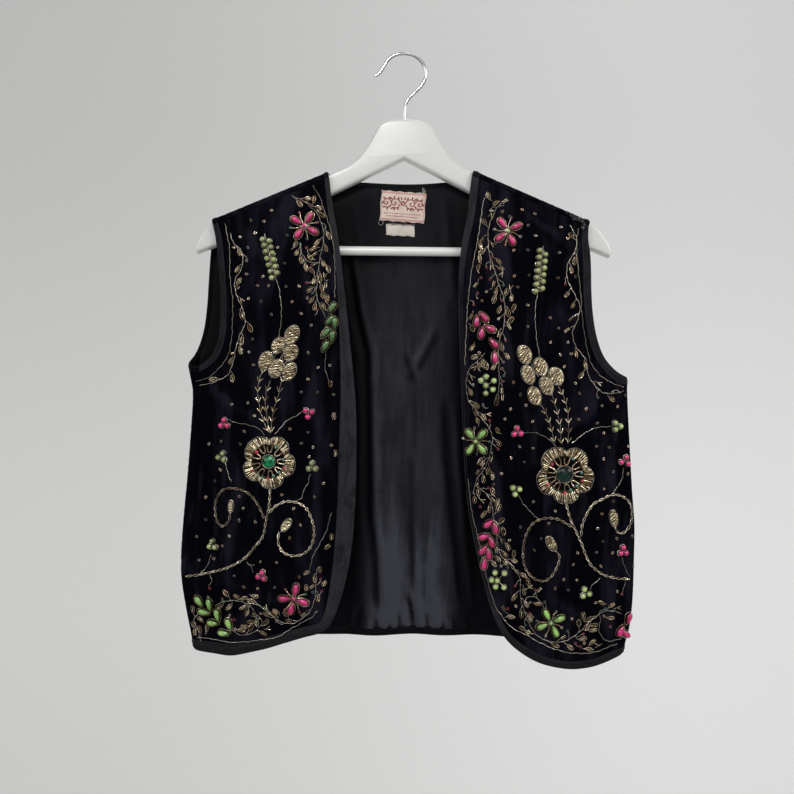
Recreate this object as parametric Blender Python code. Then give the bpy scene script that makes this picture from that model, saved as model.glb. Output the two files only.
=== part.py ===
"""Embroidered velvet waistcoat hanging open on a wooden hanger.

x runs to the viewer's right, +Y away from the viewer and z up.  The origin is the
inner top of the hanger's hook.  Sizes and tables are in millimetres.

Every cloth piece lies on one skin, which is the outer face of the velvet.  A place on
the skin is written (u, v): x and z where the cloth is flat, carried on by the length of
the cloth where it goes over a shoulder ridge or round a side.
"""
import math
from collections import namedtuple

import bmesh
import bpy
from mathutils import Vector
from mathutils.geometry import delaunay_2d_cdt

MM = 0.001
FRONT, BACK = -1, 1
LEFT, RIGHT = -1, 1

# cloth walls, measured inwards from the skin
FRONT_WALL = 1.8
BACK_WALL = 1.4
LINING_WALL = 1.0
LABEL_WALL = 0.9
SEAM_GAP = 0.3
TURN_GAP = 0.55
BINDING_PROUD = 0.4
BINDING_DEPTH = 2.1
LINED_BINDING_DEPTH = 3.1
BINDING_ROUND = 0.8

# where the cloth turns over the hanger's arms and round the sides
ARM_SLOPE = math.radians(23.0)
ARM_TOP_X, ARM_TOP_Z = 77.0, -125.3
CLOTH_ABOVE_ARM = 2.8
RIDGE_RADIUS = 6.5
RIDGE_FLAT = 3.8
SIDE_RADIUS = 7.0
MIDDLE_Y = 0.25
HALF_RIDGE = RIDGE_RADIUS + RIDGE_FLAT
RIDGE_ARC = math.pi * RIDGE_RADIUS + 2.0 * RIDGE_FLAT
SIDE_ARC = math.pi * SIDE_RADIUS
SHOULDER_SEAM = -0.5
RIDGE_REACH = 36.0
ARM_REACH = 130.0
SIDE_FADE = 45.0
TOP_FADE = 70.0
SWELL = {FRONT: 3.0, BACK: 5.0}

# mesh steps
GRID_STEP = 13.0
GRID_DROP = 32.0
PATH_STEP = 17.0
FOLD_STEP = 3.6
SEAM_BLEND = 26.0
SEAM_TREND = 9.0
TURN_MARGIN = 4.0
TURN_LOOPS = (0.0, 0.25, 0.5, 0.75, 1.0)
TURN_TOP, SHEET_TOP, SHEET_FALL = -300, -60.0, 600.0
LINING_SHORT = 3.0
LIP = 1.2

# hanger
HANGER_THICK = 14.0
HANGER_ROUND = 3.2
MITRE_LIMIT = 0.75
BAR_RADIUS = 4.7
BAR_Z = -204.0
BAR_END_X = 178.0
BAR_SOCKET_X = 165.0
WIRE_RADIUS = 1.65
HOOK_RADIUS = 21.7
HOOK_HOLE_DEPTH = 26.0
HOOK_FROM, HOOK_TO, HOOK_STEPS = 146.0, -38.0, 14
WIRE_END_GAP = 1.0
ROUND_SIDES = 20

SideRow = namedtuple("SideRow", "z edge seam")
EdgeRow = namedtuple("EdgeRow", "x z band roll")
Fold = namedtuple("Fold", "x_top z_top x_low z_low width depth")
Point = namedtuple("Point", "x z")
Petals = namedtuple("Petals", "x z count reach turn")
Column = namedtuple("Column", "x_top z_top x_low z_low count")
Berry = namedtuple("Berry", "x z turn")
Cluster = namedtuple("Cluster", "x z turn")
Bead = namedtuple("Bead", "x z half_long half_wide turn lift")

# silhouette of each side, and how far past the start of the side turn the front reaches
SIDES = {
    LEFT: [
        SideRow(-300, 222.0, -5.0), SideRow(-330, 221.5, -5.0), SideRow(-352, 217.6, -5.0),
        SideRow(-390, 219.0, -5.0), SideRow(-440, 222.3, -5.0), SideRow(-480, 225.6, -5.0),
        SideRow(-520, 228.0, 4.0), SideRow(-545, 227.4, 10.0), SideRow(-575, 222.6, 14.0),
        SideRow(-600, 217.4, 14.0), SideRow(-630, 211.0, 14.0),
    ],
    RIGHT: [
        SideRow(-300, 233.0, 15.0), SideRow(-333, 234.0, 15.0), SideRow(-360, 235.0, 15.0),
        SideRow(-400, 237.4, 15.0), SideRow(-450, 240.6, 15.0), SideRow(-485, 243.4, 15.0),
        SideRow(-525, 243.2, 15.0), SideRow(-560, 242.4, 15.0), SideRow(-590, 239.6, 15.0),
        SideRow(-610, 234.6, 15.0), SideRow(-635, 226.0, 15.0),
    ],
}

# soft folds of each sheet: a positive depth stands out from the body
FOLDS = {
    FRONT: [
        Fold(-82, -190, -72, -640, 40, 5.0), Fold(-174, -330, -178, -640, 15, 3.5),
        Fold(-150, -360, -148, -600, 15, -2.5), Fold(-204, -340, -206, -640, 14, -2.0),
        Fold(-118, -480, -120, -650, 22, 2.5), Fold(-112, -150, -118, -330, 24, 2.0),
        Fold(95, -240, 118, -660, 34, 5.0), Fold(160, -330, 158, -600, 18, -2.0),
        Fold(204, -380, 208, -660, 20, 4.0), Fold(120, -150, 128, -330, 24, 2.0),
    ],
    BACK: [
        Fold(-62, -200, -54, -650, 16, 3.5), Fold(-26, -190, -24, -650, 18, -4.0),
        Fold(8, -250, 16, -650, 14, 2.5), Fold(42, -230, 48, -650, 16, -3.0),
        Fold(76, -200, 84, -650, 18, 3.0), Fold(-120, -260, -124, -650, 22, -3.0),
        Fold(-170, -300, -172, -650, 18, 3.0), Fold(130, -260, 128, -650, 22, -3.0),
        Fold(185, -300, 188, -650, 18, 3.0),
    ],
}

# hanger outline, right half, from the middle outwards
HANGER_UPPER = [
    Point(0.0, -67.9), Point(13.4, -68.8), Point(20.7, -70.6), Point(26.3, -74.2),
    Point(29.4, -79.0), Point(34.1, -88.1), Point(39.8, -97.4), Point(46.5, -106.7),
    Point(54.0, -113.8), Point(63.0, -119.4), Point(77.0, -125.3), Point(155.0, -159.3),
    Point(196.0, -175.9), Point(202.0, -180.0), Point(206.5, -185.7), Point(211.6, -192.6),
    Point(215.0, -199.9), Point(216.0, -204.6),
]
HANGER_LOWER = [
    Point(213.6, -208.6), Point(195.0, -201.2), Point(189.5, -201.6), Point(186.6, -207.0),
    Point(183.0, -211.0), Point(175.0, -211.4), Point(170.0, -207.0), Point(166.5, -197.0),
    Point(160.0, -188.6), Point(77.0, -147.2), Point(0.0, -109.1),
]
HOOK_TIP = [Point(-30.8, -22.0), Point(-28.2, -19.9), Point(-25.2, -17.0), Point(-22.0, -12.4)]
HOOK_SHANK = [
    Point(11.2, -37.8), Point(5.4, -43.6), Point(1.9, -48.6), Point(0.4, -53.6), Point(0.0, -59.0),
]


def soft(t):
    """Smooth step from 0 to 1."""
    t = min(1.0, max(0.0, t))
    return t * t * (3.0 - 2.0 * t)


def mix(a, b, t):
    return a + (b - a) * t


def along_rows(rows, z, column):
    """Value of one column of a table whose rows go down in z, joined by cubics."""
    if z >= rows[0].z:
        return getattr(rows[0], column)
    if z <= rows[-1].z:
        return getattr(rows[-1], column)
    for i in range(len(rows) - 1):
        if rows[i].z >= z >= rows[i + 1].z:
            break
    before, after = rows[max(0, i - 1)], rows[min(len(rows) - 1, i + 2)]
    a, b = rows[i], rows[i + 1]
    span = b.z - a.z
    slope_a = (getattr(b, column) - getattr(before, column)) / (b.z - before.z)
    slope_b = (getattr(after, column) - getattr(a, column)) / (after.z - a.z)
    t = (z - a.z) / span
    return ((2 * t ** 3 - 3 * t ** 2 + 1) * getattr(a, column)
            + (t ** 3 - 2 * t ** 2 + t) * span * slope_a
            + (3 * t ** 2 - 2 * t ** 3) * getattr(b, column)
            + (t ** 3 - t ** 2) * span * slope_b)


def side_edge(side, v):
    return along_rows(SIDES[side], v, "edge")


def to_shoulder(reach, v):
    """Distance along the shoulder ridge, and height above it, square to the ridge."""
    start_x = ARM_TOP_X + CLOTH_ABOVE_ARM * math.sin(ARM_SLOPE)
    start_z = ARM_TOP_Z + CLOTH_ABOVE_ARM * math.cos(ARM_SLOPE)
    dx, dz = reach - start_x, v - start_z
    return (dx * math.cos(ARM_SLOPE) - dz * math.sin(ARM_SLOPE),
            dx * math.sin(ARM_SLOPE) + dz * math.cos(ARM_SLOPE))


def from_shoulder(a, h):
    start_x = ARM_TOP_X + CLOTH_ABOVE_ARM * math.sin(ARM_SLOPE)
    start_z = ARM_TOP_Z + CLOTH_ABOVE_ARM * math.cos(ARM_SLOPE)
    return (start_x + a * math.cos(ARM_SLOPE) + h * math.sin(ARM_SLOPE),
            start_z - a * math.sin(ARM_SLOPE) + h * math.cos(ARM_SLOPE))


def past_turns(u, v):
    """How far (u, v) is past the start of the ridge turn, and of the side turn."""
    side = RIGHT if u >= 0.0 else LEFT
    over = to_shoulder(abs(u), v)[1] + RIDGE_RADIUS
    return over, abs(u) - side_edge(side, v) + SIDE_RADIUS


def depth(u, v, face):
    """Depth of the skin in front of, or behind, the middle of the hanger."""
    over, beyond = past_turns(u, v)
    below = RIDGE_RADIUS - over
    narrow = soft((below - RIDGE_REACH) / (ARM_REACH - RIDGE_REACH))
    half = mix(HALF_RIDGE, SIDE_RADIUS, narrow)
    free = soft(-beyond / SIDE_FADE) * soft((below - RIDGE_REACH + 6.0) / TOP_FADE)
    folds = 0.0
    for fold in FOLDS[face]:
        t = (fold.z_top - v) / (fold.z_top - fold.z_low)
        middle = mix(fold.x_top, fold.x_low, t)
        folds += fold.depth * soft(t / 0.25) * math.exp(-((u - middle) / fold.width) ** 2)
    return half + free * (SWELL[face] + folds)


def ridge_skin(side, a, over, face):
    """Skin where it goes over the shoulder ridge: a quarter turn, a flat, a quarter turn."""
    quarter = 0.5 * math.pi * RIDGE_RADIUS
    if over > RIDGE_ARC:
        x, z = from_shoulder(a, -RIDGE_RADIUS - (over - RIDGE_ARC))
        return skin(side * x, z, -face)
    if over <= quarter:
        h = RIDGE_RADIUS * (math.sin(over / RIDGE_RADIUS) - 1.0)
        inward = RIDGE_RADIUS * (1.0 - math.cos(over / RIDGE_RADIUS))
    elif over <= quarter + 2.0 * RIDGE_FLAT:
        h = 0.0
        inward = RIDGE_RADIUS + over - quarter
    else:
        turn = (over - quarter - 2.0 * RIDGE_FLAT) / RIDGE_RADIUS
        h = RIDGE_RADIUS * (math.cos(turn) - 1.0)
        inward = RIDGE_RADIUS * (1.0 + math.sin(turn)) + 2.0 * RIDGE_FLAT
    x, z = from_shoulder(a, h)
    return Vector((side * x, MIDDLE_Y + face * (HALF_RIDGE - inward), z))


def side_skin(side, v, beyond, face):
    """Skin where it goes round a side: half a turn."""
    start = side_edge(side, v) - SIDE_RADIUS
    if beyond > SIDE_ARC:
        return skin(side * (start - (beyond - SIDE_ARC)), v, -face)
    turn = beyond / SIDE_RADIUS
    return Vector((side * (start + SIDE_RADIUS * math.sin(turn)),
                   MIDDLE_Y + face * SIDE_RADIUS * math.cos(turn), v))


def skin(u, v, face):
    side = RIGHT if u >= 0.0 else LEFT
    over, beyond = past_turns(u, v)
    if over > 0.0:
        return ridge_skin(side, to_shoulder(abs(u), v)[0], over, face)
    if beyond > 0.0:
        return side_skin(side, v, beyond, face)
    return Vector((u, MIDDLE_Y + face * depth(u, v, face), v))


def skin_point(u, v, face, offset):
    """Point that stands off the skin, outwards where offset is positive."""
    step = 0.4
    across = skin(u + step, v, face) - skin(u - step, v, face)
    upward = skin(u, v + step, face) - skin(u, v - step, face)
    outward = across.cross(upward).normalized() * -face
    return skin(u, v, face) + outward * offset


def shoulder_seam_place(reach, side, face):
    """Place on the shoulder seam whose distance along the ridge is that of x = reach."""
    a = to_shoulder(reach, ARM_TOP_Z - math.tan(ARM_SLOPE) * (reach - ARM_TOP_X))[0]
    past = SHOULDER_SEAM
    if face == BACK:
        past = RIDGE_ARC - SHOULDER_SEAM - TURN_GAP
    x, z = from_shoulder(a, past - RIDGE_RADIUS)
    return side * x, z


def side_seam_place(side, v, face):
    past = along_rows(SIDES[side], v, "seam")
    if face == BACK:
        past = SIDE_ARC - past - TURN_GAP
    return side * (side_edge(side, v) - SIDE_RADIUS + past), v


def seam_row(place, band, roll=0.0):
    return EdgeRow(place[0], place[1], band, roll)


# front edges, from the shoulder seam down and round the corner along the hem
FRONT_EDGES = {
    LEFT: [
        seam_row(shoulder_seam_place(79.0, LEFT, FRONT), 5.0),
        EdgeRow(-75.4, -146, 5.2, 0.0), EdgeRow(-72.4, -164, 5.8, 0.0),
        EdgeRow(-67.6, -190, 6.0, 0.5), EdgeRow(-63.6, -220, 6.2, 1.0),
        EdgeRow(-60.0, -248, 7.0, 1.5), EdgeRow(-55.6, -286, 9.4, 2.0),
        EdgeRow(-51.0, -326, 12.4, 2.5), EdgeRow(-47.4, -366, 15.6, 3.0),
        EdgeRow(-46.3, -415, 18.0, 3.5), EdgeRow(-47.0, -466, 18.0, 3.5),
        EdgeRow(-50.6, -514, 17.0, 3.0), EdgeRow(-56.0, -545, 15.0, 2.0),
        EdgeRow(-63.2, -571, 12.0, 1.0), EdgeRow(-71.0, -589, 10.0, 0.5),
        EdgeRow(-81.0, -598, 10.0, 0.0), EdgeRow(-98.0, -603, 10.5, 0.0),
        EdgeRow(-121.0, -610, 11.0, 0.0), EdgeRow(-146.0, -618.6, 11.5, 0.0),
        EdgeRow(-171.0, -623, 11.5, 0.0), EdgeRow(-193.0, -622, 11.5, 0.0),
        EdgeRow(-207.0, -620, 11.0, 0.0), seam_row(side_seam_place(LEFT, -617, FRONT), 10.0),
    ],
    RIGHT: [
        seam_row(shoulder_seam_place(71.5, RIGHT, FRONT), 8.0),
        EdgeRow(67.6, -146, 8.0, 0.0), EdgeRow(64.6, -172, 7.6, 0.0),
        EdgeRow(60.0, -198, 6.2, -1.0), EdgeRow(57.4, -232, 5.0, -3.0),
        EdgeRow(57.8, -272, 3.6, -5.0), EdgeRow(59.4, -316, 2.8, -6.0),
        EdgeRow(61.0, -354, 2.6, -6.0), EdgeRow(63.0, -392, 2.6, -6.0),
        EdgeRow(65.4, -432, 2.8, -6.0), EdgeRow(69.2, -470, 3.0, -5.5),
        EdgeRow(75.4, -503, 3.4, -5.0), EdgeRow(83.0, -536, 3.8, -4.0),
        EdgeRow(90.6, -563, 4.6, -3.0), EdgeRow(98.4, -584.5, 6.0, -2.0),
        EdgeRow(109.0, -602.5, 7.0, -1.0), EdgeRow(126.0, -617, 8.0, 0.0),
        EdgeRow(149.0, -629, 8.2, 0.0), EdgeRow(173.0, -634, 8.2, 0.0),
        EdgeRow(196.0, -632, 8.2, 0.0), EdgeRow(213.0, -627.4, 8.2, 0.0),
        EdgeRow(226.0, -621.6, 8.0, 0.0), seam_row(side_seam_place(RIGHT, -616.6, FRONT), 8.0),
    ],
}
ARMHOLES = {
    (LEFT, FRONT): [
        seam_row(shoulder_seam_place(198.0, LEFT, FRONT), 5.5),
        EdgeRow(-193.6, -193, 6.4, 0.0), EdgeRow(-191.0, -215, 6.6, 0.0),
        EdgeRow(-188.4, -242, 6.4, 0.0), EdgeRow(-187.5, -270, 6.2, 0.0),
        EdgeRow(-189.2, -295, 6.4, 0.0), EdgeRow(-194.4, -311, 6.6, 0.0),
        EdgeRow(-201.5, -320, 6.4, 0.0), seam_row(side_seam_place(LEFT, -325.6, FRONT), 6.2),
    ],
    (RIGHT, FRONT): [
        seam_row(shoulder_seam_place(192.0, RIGHT, FRONT), 6.0),
        EdgeRow(190.2, -191, 7.0, 0.0), EdgeRow(192.4, -206, 8.0, 0.0),
        EdgeRow(193.4, -224, 8.3, 0.0), EdgeRow(193.9, -245, 8.3, 0.0),
        EdgeRow(195.6, -267, 8.3, 0.0), EdgeRow(199.8, -290, 8.5, 0.0),
        EdgeRow(207.4, -310.5, 8.6, 0.0), EdgeRow(217.6, -323.2, 8.6, 0.0),
        EdgeRow(228.0, -330.6, 8.4, 0.0), seam_row(side_seam_place(RIGHT, -334.6, FRONT), 8.0),
    ],
    (LEFT, BACK): [
        seam_row(shoulder_seam_place(198.0, LEFT, BACK), 5.5),
        EdgeRow(-200.0, -170, 6.0, 0.0), EdgeRow(-200.6, -188, 6.4, 0.0),
        EdgeRow(-202.4, -208, 6.5, 0.0), EdgeRow(-204.0, -234, 6.5, 0.0),
        EdgeRow(-205.6, -264, 6.5, 0.0), EdgeRow(-208.4, -288, 6.5, 0.0),
        EdgeRow(-213.6, -306, 6.5, 0.0), EdgeRow(-221.0, -318, 6.4, 0.0),
        EdgeRow(-231.0, -324.4, 6.3, 0.0), seam_row(side_seam_place(LEFT, -325.6, BACK), 6.2),
    ],
    (RIGHT, BACK): [
        seam_row(shoulder_seam_place(192.0, RIGHT, BACK), 6.0),
        EdgeRow(194.0, -168, 6.3, 0.0), EdgeRow(190.6, -186, 6.8, 0.0),
        EdgeRow(189.4, -208, 7.0, 0.0), EdgeRow(189.6, -236, 7.0, 0.0),
        EdgeRow(191.4, -264, 7.0, 0.0), EdgeRow(196.0, -289, 7.0, 0.0),
        EdgeRow(204.4, -311, 7.2, 0.0), EdgeRow(215.6, -325, 7.6, 0.0),
        EdgeRow(226.0, -331.8, 8.0, 0.0), seam_row(side_seam_place(RIGHT, -334.6, BACK), 8.0),
    ],
}
BACK_NECK = [
    seam_row(shoulder_seam_place(79.0, LEFT, BACK), 5.0),
    EdgeRow(-81.0, -117.6, 5.0, 0.0), EdgeRow(-75.0, -126.6, 5.6, 0.0),
    EdgeRow(-63.0, -129.8, 6.0, 0.0), EdgeRow(-44.0, -130.6, 6.0, 0.0),
    EdgeRow(-22.0, -131.6, 6.0, 0.0), EdgeRow(0.0, -132.0, 6.0, 0.0),
    EdgeRow(20.0, -131.6, 6.0, 0.0), EdgeRow(38.0, -130.2, 6.0, 0.0),
    EdgeRow(56.0, -128.4, 6.0, 0.0), EdgeRow(68.0, -124.4, 6.4, 0.0),
    EdgeRow(74.0, -114.8, 7.4, 0.0), seam_row(shoulder_seam_place(71.5, RIGHT, BACK), 8.0),
]
BACK_HEM = [
    seam_row(side_seam_place(LEFT, -617, BACK), 10.0), EdgeRow(-207.0, -613, 9.6, 0.0),
    EdgeRow(-190.0, -609, 9.2, 0.0), EdgeRow(-150.0, -606.4, 9.0, 0.0),
    EdgeRow(-90.0, -606, 9.0, 0.0), EdgeRow(-50.0, -606.6, 9.0, 0.0),
    EdgeRow(0.0, -605.4, 9.0, 0.0), EdgeRow(60.0, -605.4, 9.0, 0.0),
    EdgeRow(110.0, -606.2, 9.0, 0.0), EdgeRow(170.0, -609, 9.0, 0.0),
    EdgeRow(205.0, -613, 8.6, 0.0), seam_row(side_seam_place(RIGHT, -616.6, BACK), 8.0),
]

# raised embroidery: large beads and padded gold work
FLOWERS = [
    Petals(-102, -182, 4, 10.5, 57), Petals(-109, -564, 4, 10.5, 80),
    Petals(106, -185, 4, 11.0, 33), Petals(76, -401, 4, 10.5, 50), Petals(154, -587, 4, 11.0, 22),
]
SPRAYS = [
    Column(-70, -266, -77, -305, 6), Column(-203, -567, -180, -598, 7),
    Column(81, -272, 93, -316, 6), Column(94, -484, 87, -524, 7), Column(230, -581, 226, -597, 3),
]
GRAPES = [Column(-142, -194, -131, -234, 13), Column(143, -204, 139, -246, 13)]
TRIPLES = [
    Cluster(-182, -385, 90), Cluster(-95, -373, 20), Cluster(-184, -419, 70),
    Cluster(-91, -428, 90), Cluster(-193, -510, 90), Cluster(-142, -541, 75),
    Cluster(118, -390, 30), Cluster(221, -383, 0), Cluster(226, -419, 80),
    Cluster(117, -450, 20), Cluster(226, -513, 100), Cluster(190, -555, 10),
]
POSIES = [Petals(87, -342, 5, 7.6, 90), Petals(99, -541, 5, 7.6, 60)]
BERRIES = [
    Berry(-113.2, -293, 70), Berry(-127.2, -304, 80), Berry(-114.2, -312, 85),
    Berry(-140.2, -320, 60), Berry(-129.2, -328, 80), Berry(-115.2, -331, 95),
    Berry(125.5, -310.7, 115), Berry(142, -322.6, 105), Berry(129.3, -332.2, 110),
    Berry(159, -332.6, 100), Berry(148.3, -342.5, 110), Berry(135.7, -352.8, 110),
]
MEDALLIONS = [Petals(-136.3, -423.4, 5, 27.0, 88), Petals(168, -434, 5, 29.5, 54)]
Label = namedtuple("Label", "name x z wide high turn")
LABELS = [
    Label("label_main", -1.0, -156.0, 47.0, 31.0, -3.5),
    Label("label_size", -3.5, -180.6, 30.0, 11.5, -2.5),
]
LABEL_STEP = 10.0
PETAL_LONG, PETAL_WIDE, PETAL_LIFT = 6.2, 3.5, 3.0
ROUND_BEAD, ROUND_LIFT = 3.0, 2.8
BERRY_LONG, BERRY_WIDE, BERRY_LIFT = 8.4, 6.0, 2.2
MEDALLION_LIFT, JEWEL_RADIUS, JEWEL_LIFT = 2.2, 7.5, 4.0


def polar(x, z, reach, degrees):
    turn = math.radians(degrees)
    return x + reach * math.cos(turn), z + reach * math.sin(turn)


def list_beads():
    """Every raised bead and padded oval, worked out from the motif tables."""
    beads = []
    for row in FLOWERS:
        for i in range(row.count):
            angle = row.turn + 360.0 * i / row.count
            beads.append(Bead(*polar(row.x, row.z, row.reach, angle),
                              PETAL_LONG, PETAL_WIDE, angle, PETAL_LIFT))
    for row in SPRAYS:
        run = math.degrees(math.atan2(row.z_low - row.z_top, row.x_low - row.x_top))
        for i in range(row.count):
            t = i / (row.count - 1)
            lean = 52.0 if i % 2 else -52.0
            x, z = mix(row.x_top, row.x_low, t), mix(row.z_top, row.z_low, t)
            beads.append(Bead(*polar(x, z, 5.0, run + 180.0 + lean),
                              PETAL_LONG - 0.6, PETAL_WIDE - 0.3, run + 180.0 + lean, PETAL_LIFT))
    for row in GRAPES:
        run = math.degrees(math.atan2(row.z_low - row.z_top, row.x_low - row.x_top))
        for i in range(row.count):
            t = i / (row.count - 1)
            x, z = mix(row.x_top, row.x_low, t), mix(row.z_top, row.z_low, t)
            beads.append(Bead(*polar(x, z, 3.4, run + (90.0 if i % 2 else -90.0)),
                              ROUND_BEAD, ROUND_BEAD, 0.0, ROUND_LIFT))
    for row in TRIPLES:
        for i in range(3):
            beads.append(Bead(*polar(row.x, row.z, 4.2, row.turn + 120.0 * i),
                              ROUND_BEAD, ROUND_BEAD, 0.0, ROUND_LIFT))
    for row in POSIES:
        for i in range(row.count):
            beads.append(Bead(*polar(row.x, row.z, row.reach, row.turn + 360.0 * i / row.count),
                              ROUND_BEAD, ROUND_BEAD, 0.0, ROUND_LIFT))
    for row in BERRIES:
        beads.append(Bead(row.x, row.z, BERRY_LONG, BERRY_WIDE, row.turn, BERRY_LIFT))
    return beads


def in_bead(bead, u, v, scale):
    turn = math.radians(bead.turn)
    du, dv = u - bead.x, v - bead.z
    a = (du * math.cos(turn) + dv * math.sin(turn)) / bead.half_long
    b = (dv * math.cos(turn) - du * math.sin(turn)) / bead.half_wide
    return math.hypot(a, b) < scale


def bead_ring(bead, scale, count, lift):
    turn = math.radians(bead.turn)
    ring = []
    for i in range(count):
        angle = 2.0 * math.pi * i / count
        a = bead.half_long * scale * math.cos(angle)
        b = bead.half_wide * scale * math.sin(angle)
        ring.append((bead.x + a * math.cos(turn) - b * math.sin(turn),
                     bead.z + a * math.sin(turn) + b * math.cos(turn), lift))
    return ring


def medallion_rings(row):
    """Lobed padded ring round a jewel."""
    rings = ((1.0, 20, 0.0), (0.9, 20, MEDALLION_LIFT), (0.62, 10, MEDALLION_LIFT),
             (0.46, 10, 0.3))
    points = []
    for scale, count, lift in rings:
        for i in range(count):
            angle = row.turn + 360.0 * i / count
            lobe = 0.9 + 0.1 * abs(math.cos(math.radians(0.5 * row.count * (angle - row.turn))))
            points.append((*polar(row.x, row.z, row.reach * scale * lobe, angle), lift))
    jewel = Bead(row.x, row.z, JEWEL_RADIUS, JEWEL_RADIUS, 0.0, JEWEL_LIFT)
    points += bead_ring(jewel, 1.0, 8, 0.3) + bead_ring(jewel, 0.6, 5, JEWEL_LIFT)
    return points


def relief_points(side):
    """Raised points of one front, as (u, v, lift), and the shapes that they cover."""
    beads = [bead for bead in list_beads() if bead.x * side > 0.0]
    medals = [row for row in MEDALLIONS if row.x * side > 0.0]
    points = []
    for bead in beads:
        long_bead = bead.half_long > ROUND_BEAD
        rim = bead_ring(bead, 1.0, 8 if long_bead else 6, 0.0)
        others = [other for other in beads if other is not bead]
        points += [p for p in rim if not any(in_bead(o, p[0], p[1], 1.08) for o in others)]
        points += bead_ring(bead, 0.55, 4 if long_bead else 3, bead.lift)
    for row in medals:
        points += medallion_rings(row)
    covers = beads + [Bead(row.x, row.z, row.reach, row.reach, 0.0, 0.0) for row in medals]
    return points, covers


def smooth_rows(rows, span_steps=16):
    """Rows joined by cubics through every column, as a dense list."""
    dense = []
    for i in range(len(rows) - 1):
        before, after = rows[max(0, i - 1)], rows[min(len(rows) - 1, i + 2)]
        a, b = rows[i], rows[i + 1]
        span = math.dist(a[:2], b[:2])
        back, ahead = math.dist(before[:2], a[:2]), math.dist(b[:2], after[:2])
        for step in range(span_steps):
            t = step / span_steps
            values = []
            for p, q, r, s in zip(before, a, b, after):
                slope_a = (r - p) / (span + back) * span
                slope_b = (s - q) / (span + ahead) * span
                values.append((2 * t ** 3 - 3 * t ** 2 + 1) * q + (t ** 3 - 2 * t ** 2 + t) * slope_a
                              + (3 * t ** 2 - 2 * t ** 3) * r + (t ** 3 - t ** 2) * slope_b)
            dense.append(EdgeRow(*values))
    dense.append(rows[-1])
    return dense


def near_turn(u, v):
    over, beyond = past_turns(u, v)
    return over > -3.0 or beyond > -3.0


Station = namedtuple("Station", "u v across band roll")


def stations(rows, hand, first_across, last_across):
    """Stops along a bound edge, closer together where the cloth turns."""
    dense = smooth_rows(rows)
    picked, run = [0], 0.0
    for i in range(1, len(dense)):
        run += math.dist(dense[i - 1][:2], dense[i][:2])
        step = FOLD_STEP if near_turn(dense[i].x, dense[i].z) else PATH_STEP
        if run >= step:
            picked.append(i)
            run = 0.0
    if math.dist(dense[picked[-1]][:2], dense[-1][:2]) < 0.5 * FOLD_STEP:
        picked.pop()
    picked.append(len(dense) - 1)
    stops = []
    for i in picked:
        a, b = dense[max(0, i - 2)], dense[min(len(dense) - 1, i + 2)]
        row = dense[i]
        tangent = Vector((b.x - a.x, b.z - a.z)).normalized()
        across = Vector((-tangent.y, tangent.x)) * hand
        for end, seam in ((dense[0], first_across), (dense[-1], last_across)):
            across = across.lerp(seam, soft(1.0 - math.dist(end[:2], row[:2]) / SEAM_BLEND))
        across.normalize()
        stops.append(Station(row.x, row.z, across, row.band, row.roll))
    return stops


def inner_edge(stops):
    """Where the panel starts, just past the binding."""
    line = []
    for stop in stops:
        width = stop.band + (TURN_GAP if near_turn(stop.u, stop.v) else SEAM_GAP)
        line.append((stop.u + stop.across.x * width, stop.v + stop.across.y * width))
    return line


def shoulder_across(side, outward):
    """Direction of the shoulder seam in (u, v), towards the arm where outward is 1."""
    return Vector((side * math.cos(ARM_SLOPE), -math.sin(ARM_SLOPE))) * outward


def side_across(side, face, v, upward):
    """Direction of the side seam from v, up where upward is 1 and down where it is -1."""
    start, end = side_seam_place(side, v, face), side_seam_place(side, v + SEAM_TREND * upward, face)
    return Vector((end[0] - start[0], end[1] - start[1])).normalized()


def make_object(name, mesh, look):
    color, roughness, metallic = look
    material = bpy.data.materials.new(name + "_finish")
    material.use_nodes = True
    shader = material.node_tree.nodes["Principled BSDF"]
    shader.inputs["Base Color"].default_value = (*color, 1.0)
    shader.inputs["Roughness"].default_value = roughness
    shader.inputs["Metallic"].default_value = metallic
    mesh.materials.append(material)
    thing = bpy.data.objects.new(name, mesh)
    bpy.context.scene.collection.objects.link(thing)
    return thing


def finish_mesh(name, body, look):
    bmesh.ops.recalc_face_normals(body, faces=body.faces)
    mesh = bpy.data.meshes.new(name)
    body.to_mesh(mesh)
    body.free()
    mesh.shade_smooth()
    mesh.set_sharp_from_angle(angle=math.radians(40.0))
    return make_object(name, mesh, look)


def ribbon(name, stops, face, inner_depth, look):
    """Binding: a rounded strip swept along its edge, square to the skin."""
    body = bmesh.new()
    rings = []
    for stop in stops:
        inner = -inner_depth(stop.u, stop.v)
        lip = min(LIP, 0.4 * stop.band)
        section = [(0.0, BINDING_PROUD - BINDING_ROUND), (lip, BINDING_PROUD),
                   (0.5 * stop.band, BINDING_PROUD + 0.3), (stop.band, BINDING_PROUD),
                   (stop.band, inner), (lip, inner), (0.0, inner + BINDING_ROUND)]
        ring = []
        for a, offset in section:
            curl = stop.roll * (1.0 - a / stop.band) ** 1.5
            u, v = stop.u + stop.across.x * a, stop.v + stop.across.y * a
            ring.append(body.verts.new(skin_point(u, v, face, offset + curl) * MM))
        rings.append(ring)
    for ring, after in zip(rings, rings[1:]):
        for i in range(len(ring)):
            j = (i + 1) % len(ring)
            body.faces.new((ring[i], ring[j], after[j], after[i]))
    body.faces.new(rings[0])
    body.faces.new(rings[-1])
    return finish_mesh(name, body, look)


def inside(outline, u, v):
    found = False
    for (ax, az), (bx, bz) in zip(outline, outline[1:] + outline[:1]):
        if (az > v) != (bz > v) and u < (bx - ax) * (v - az) / (bz - az) + ax:
            found = not found
    return found


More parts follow.
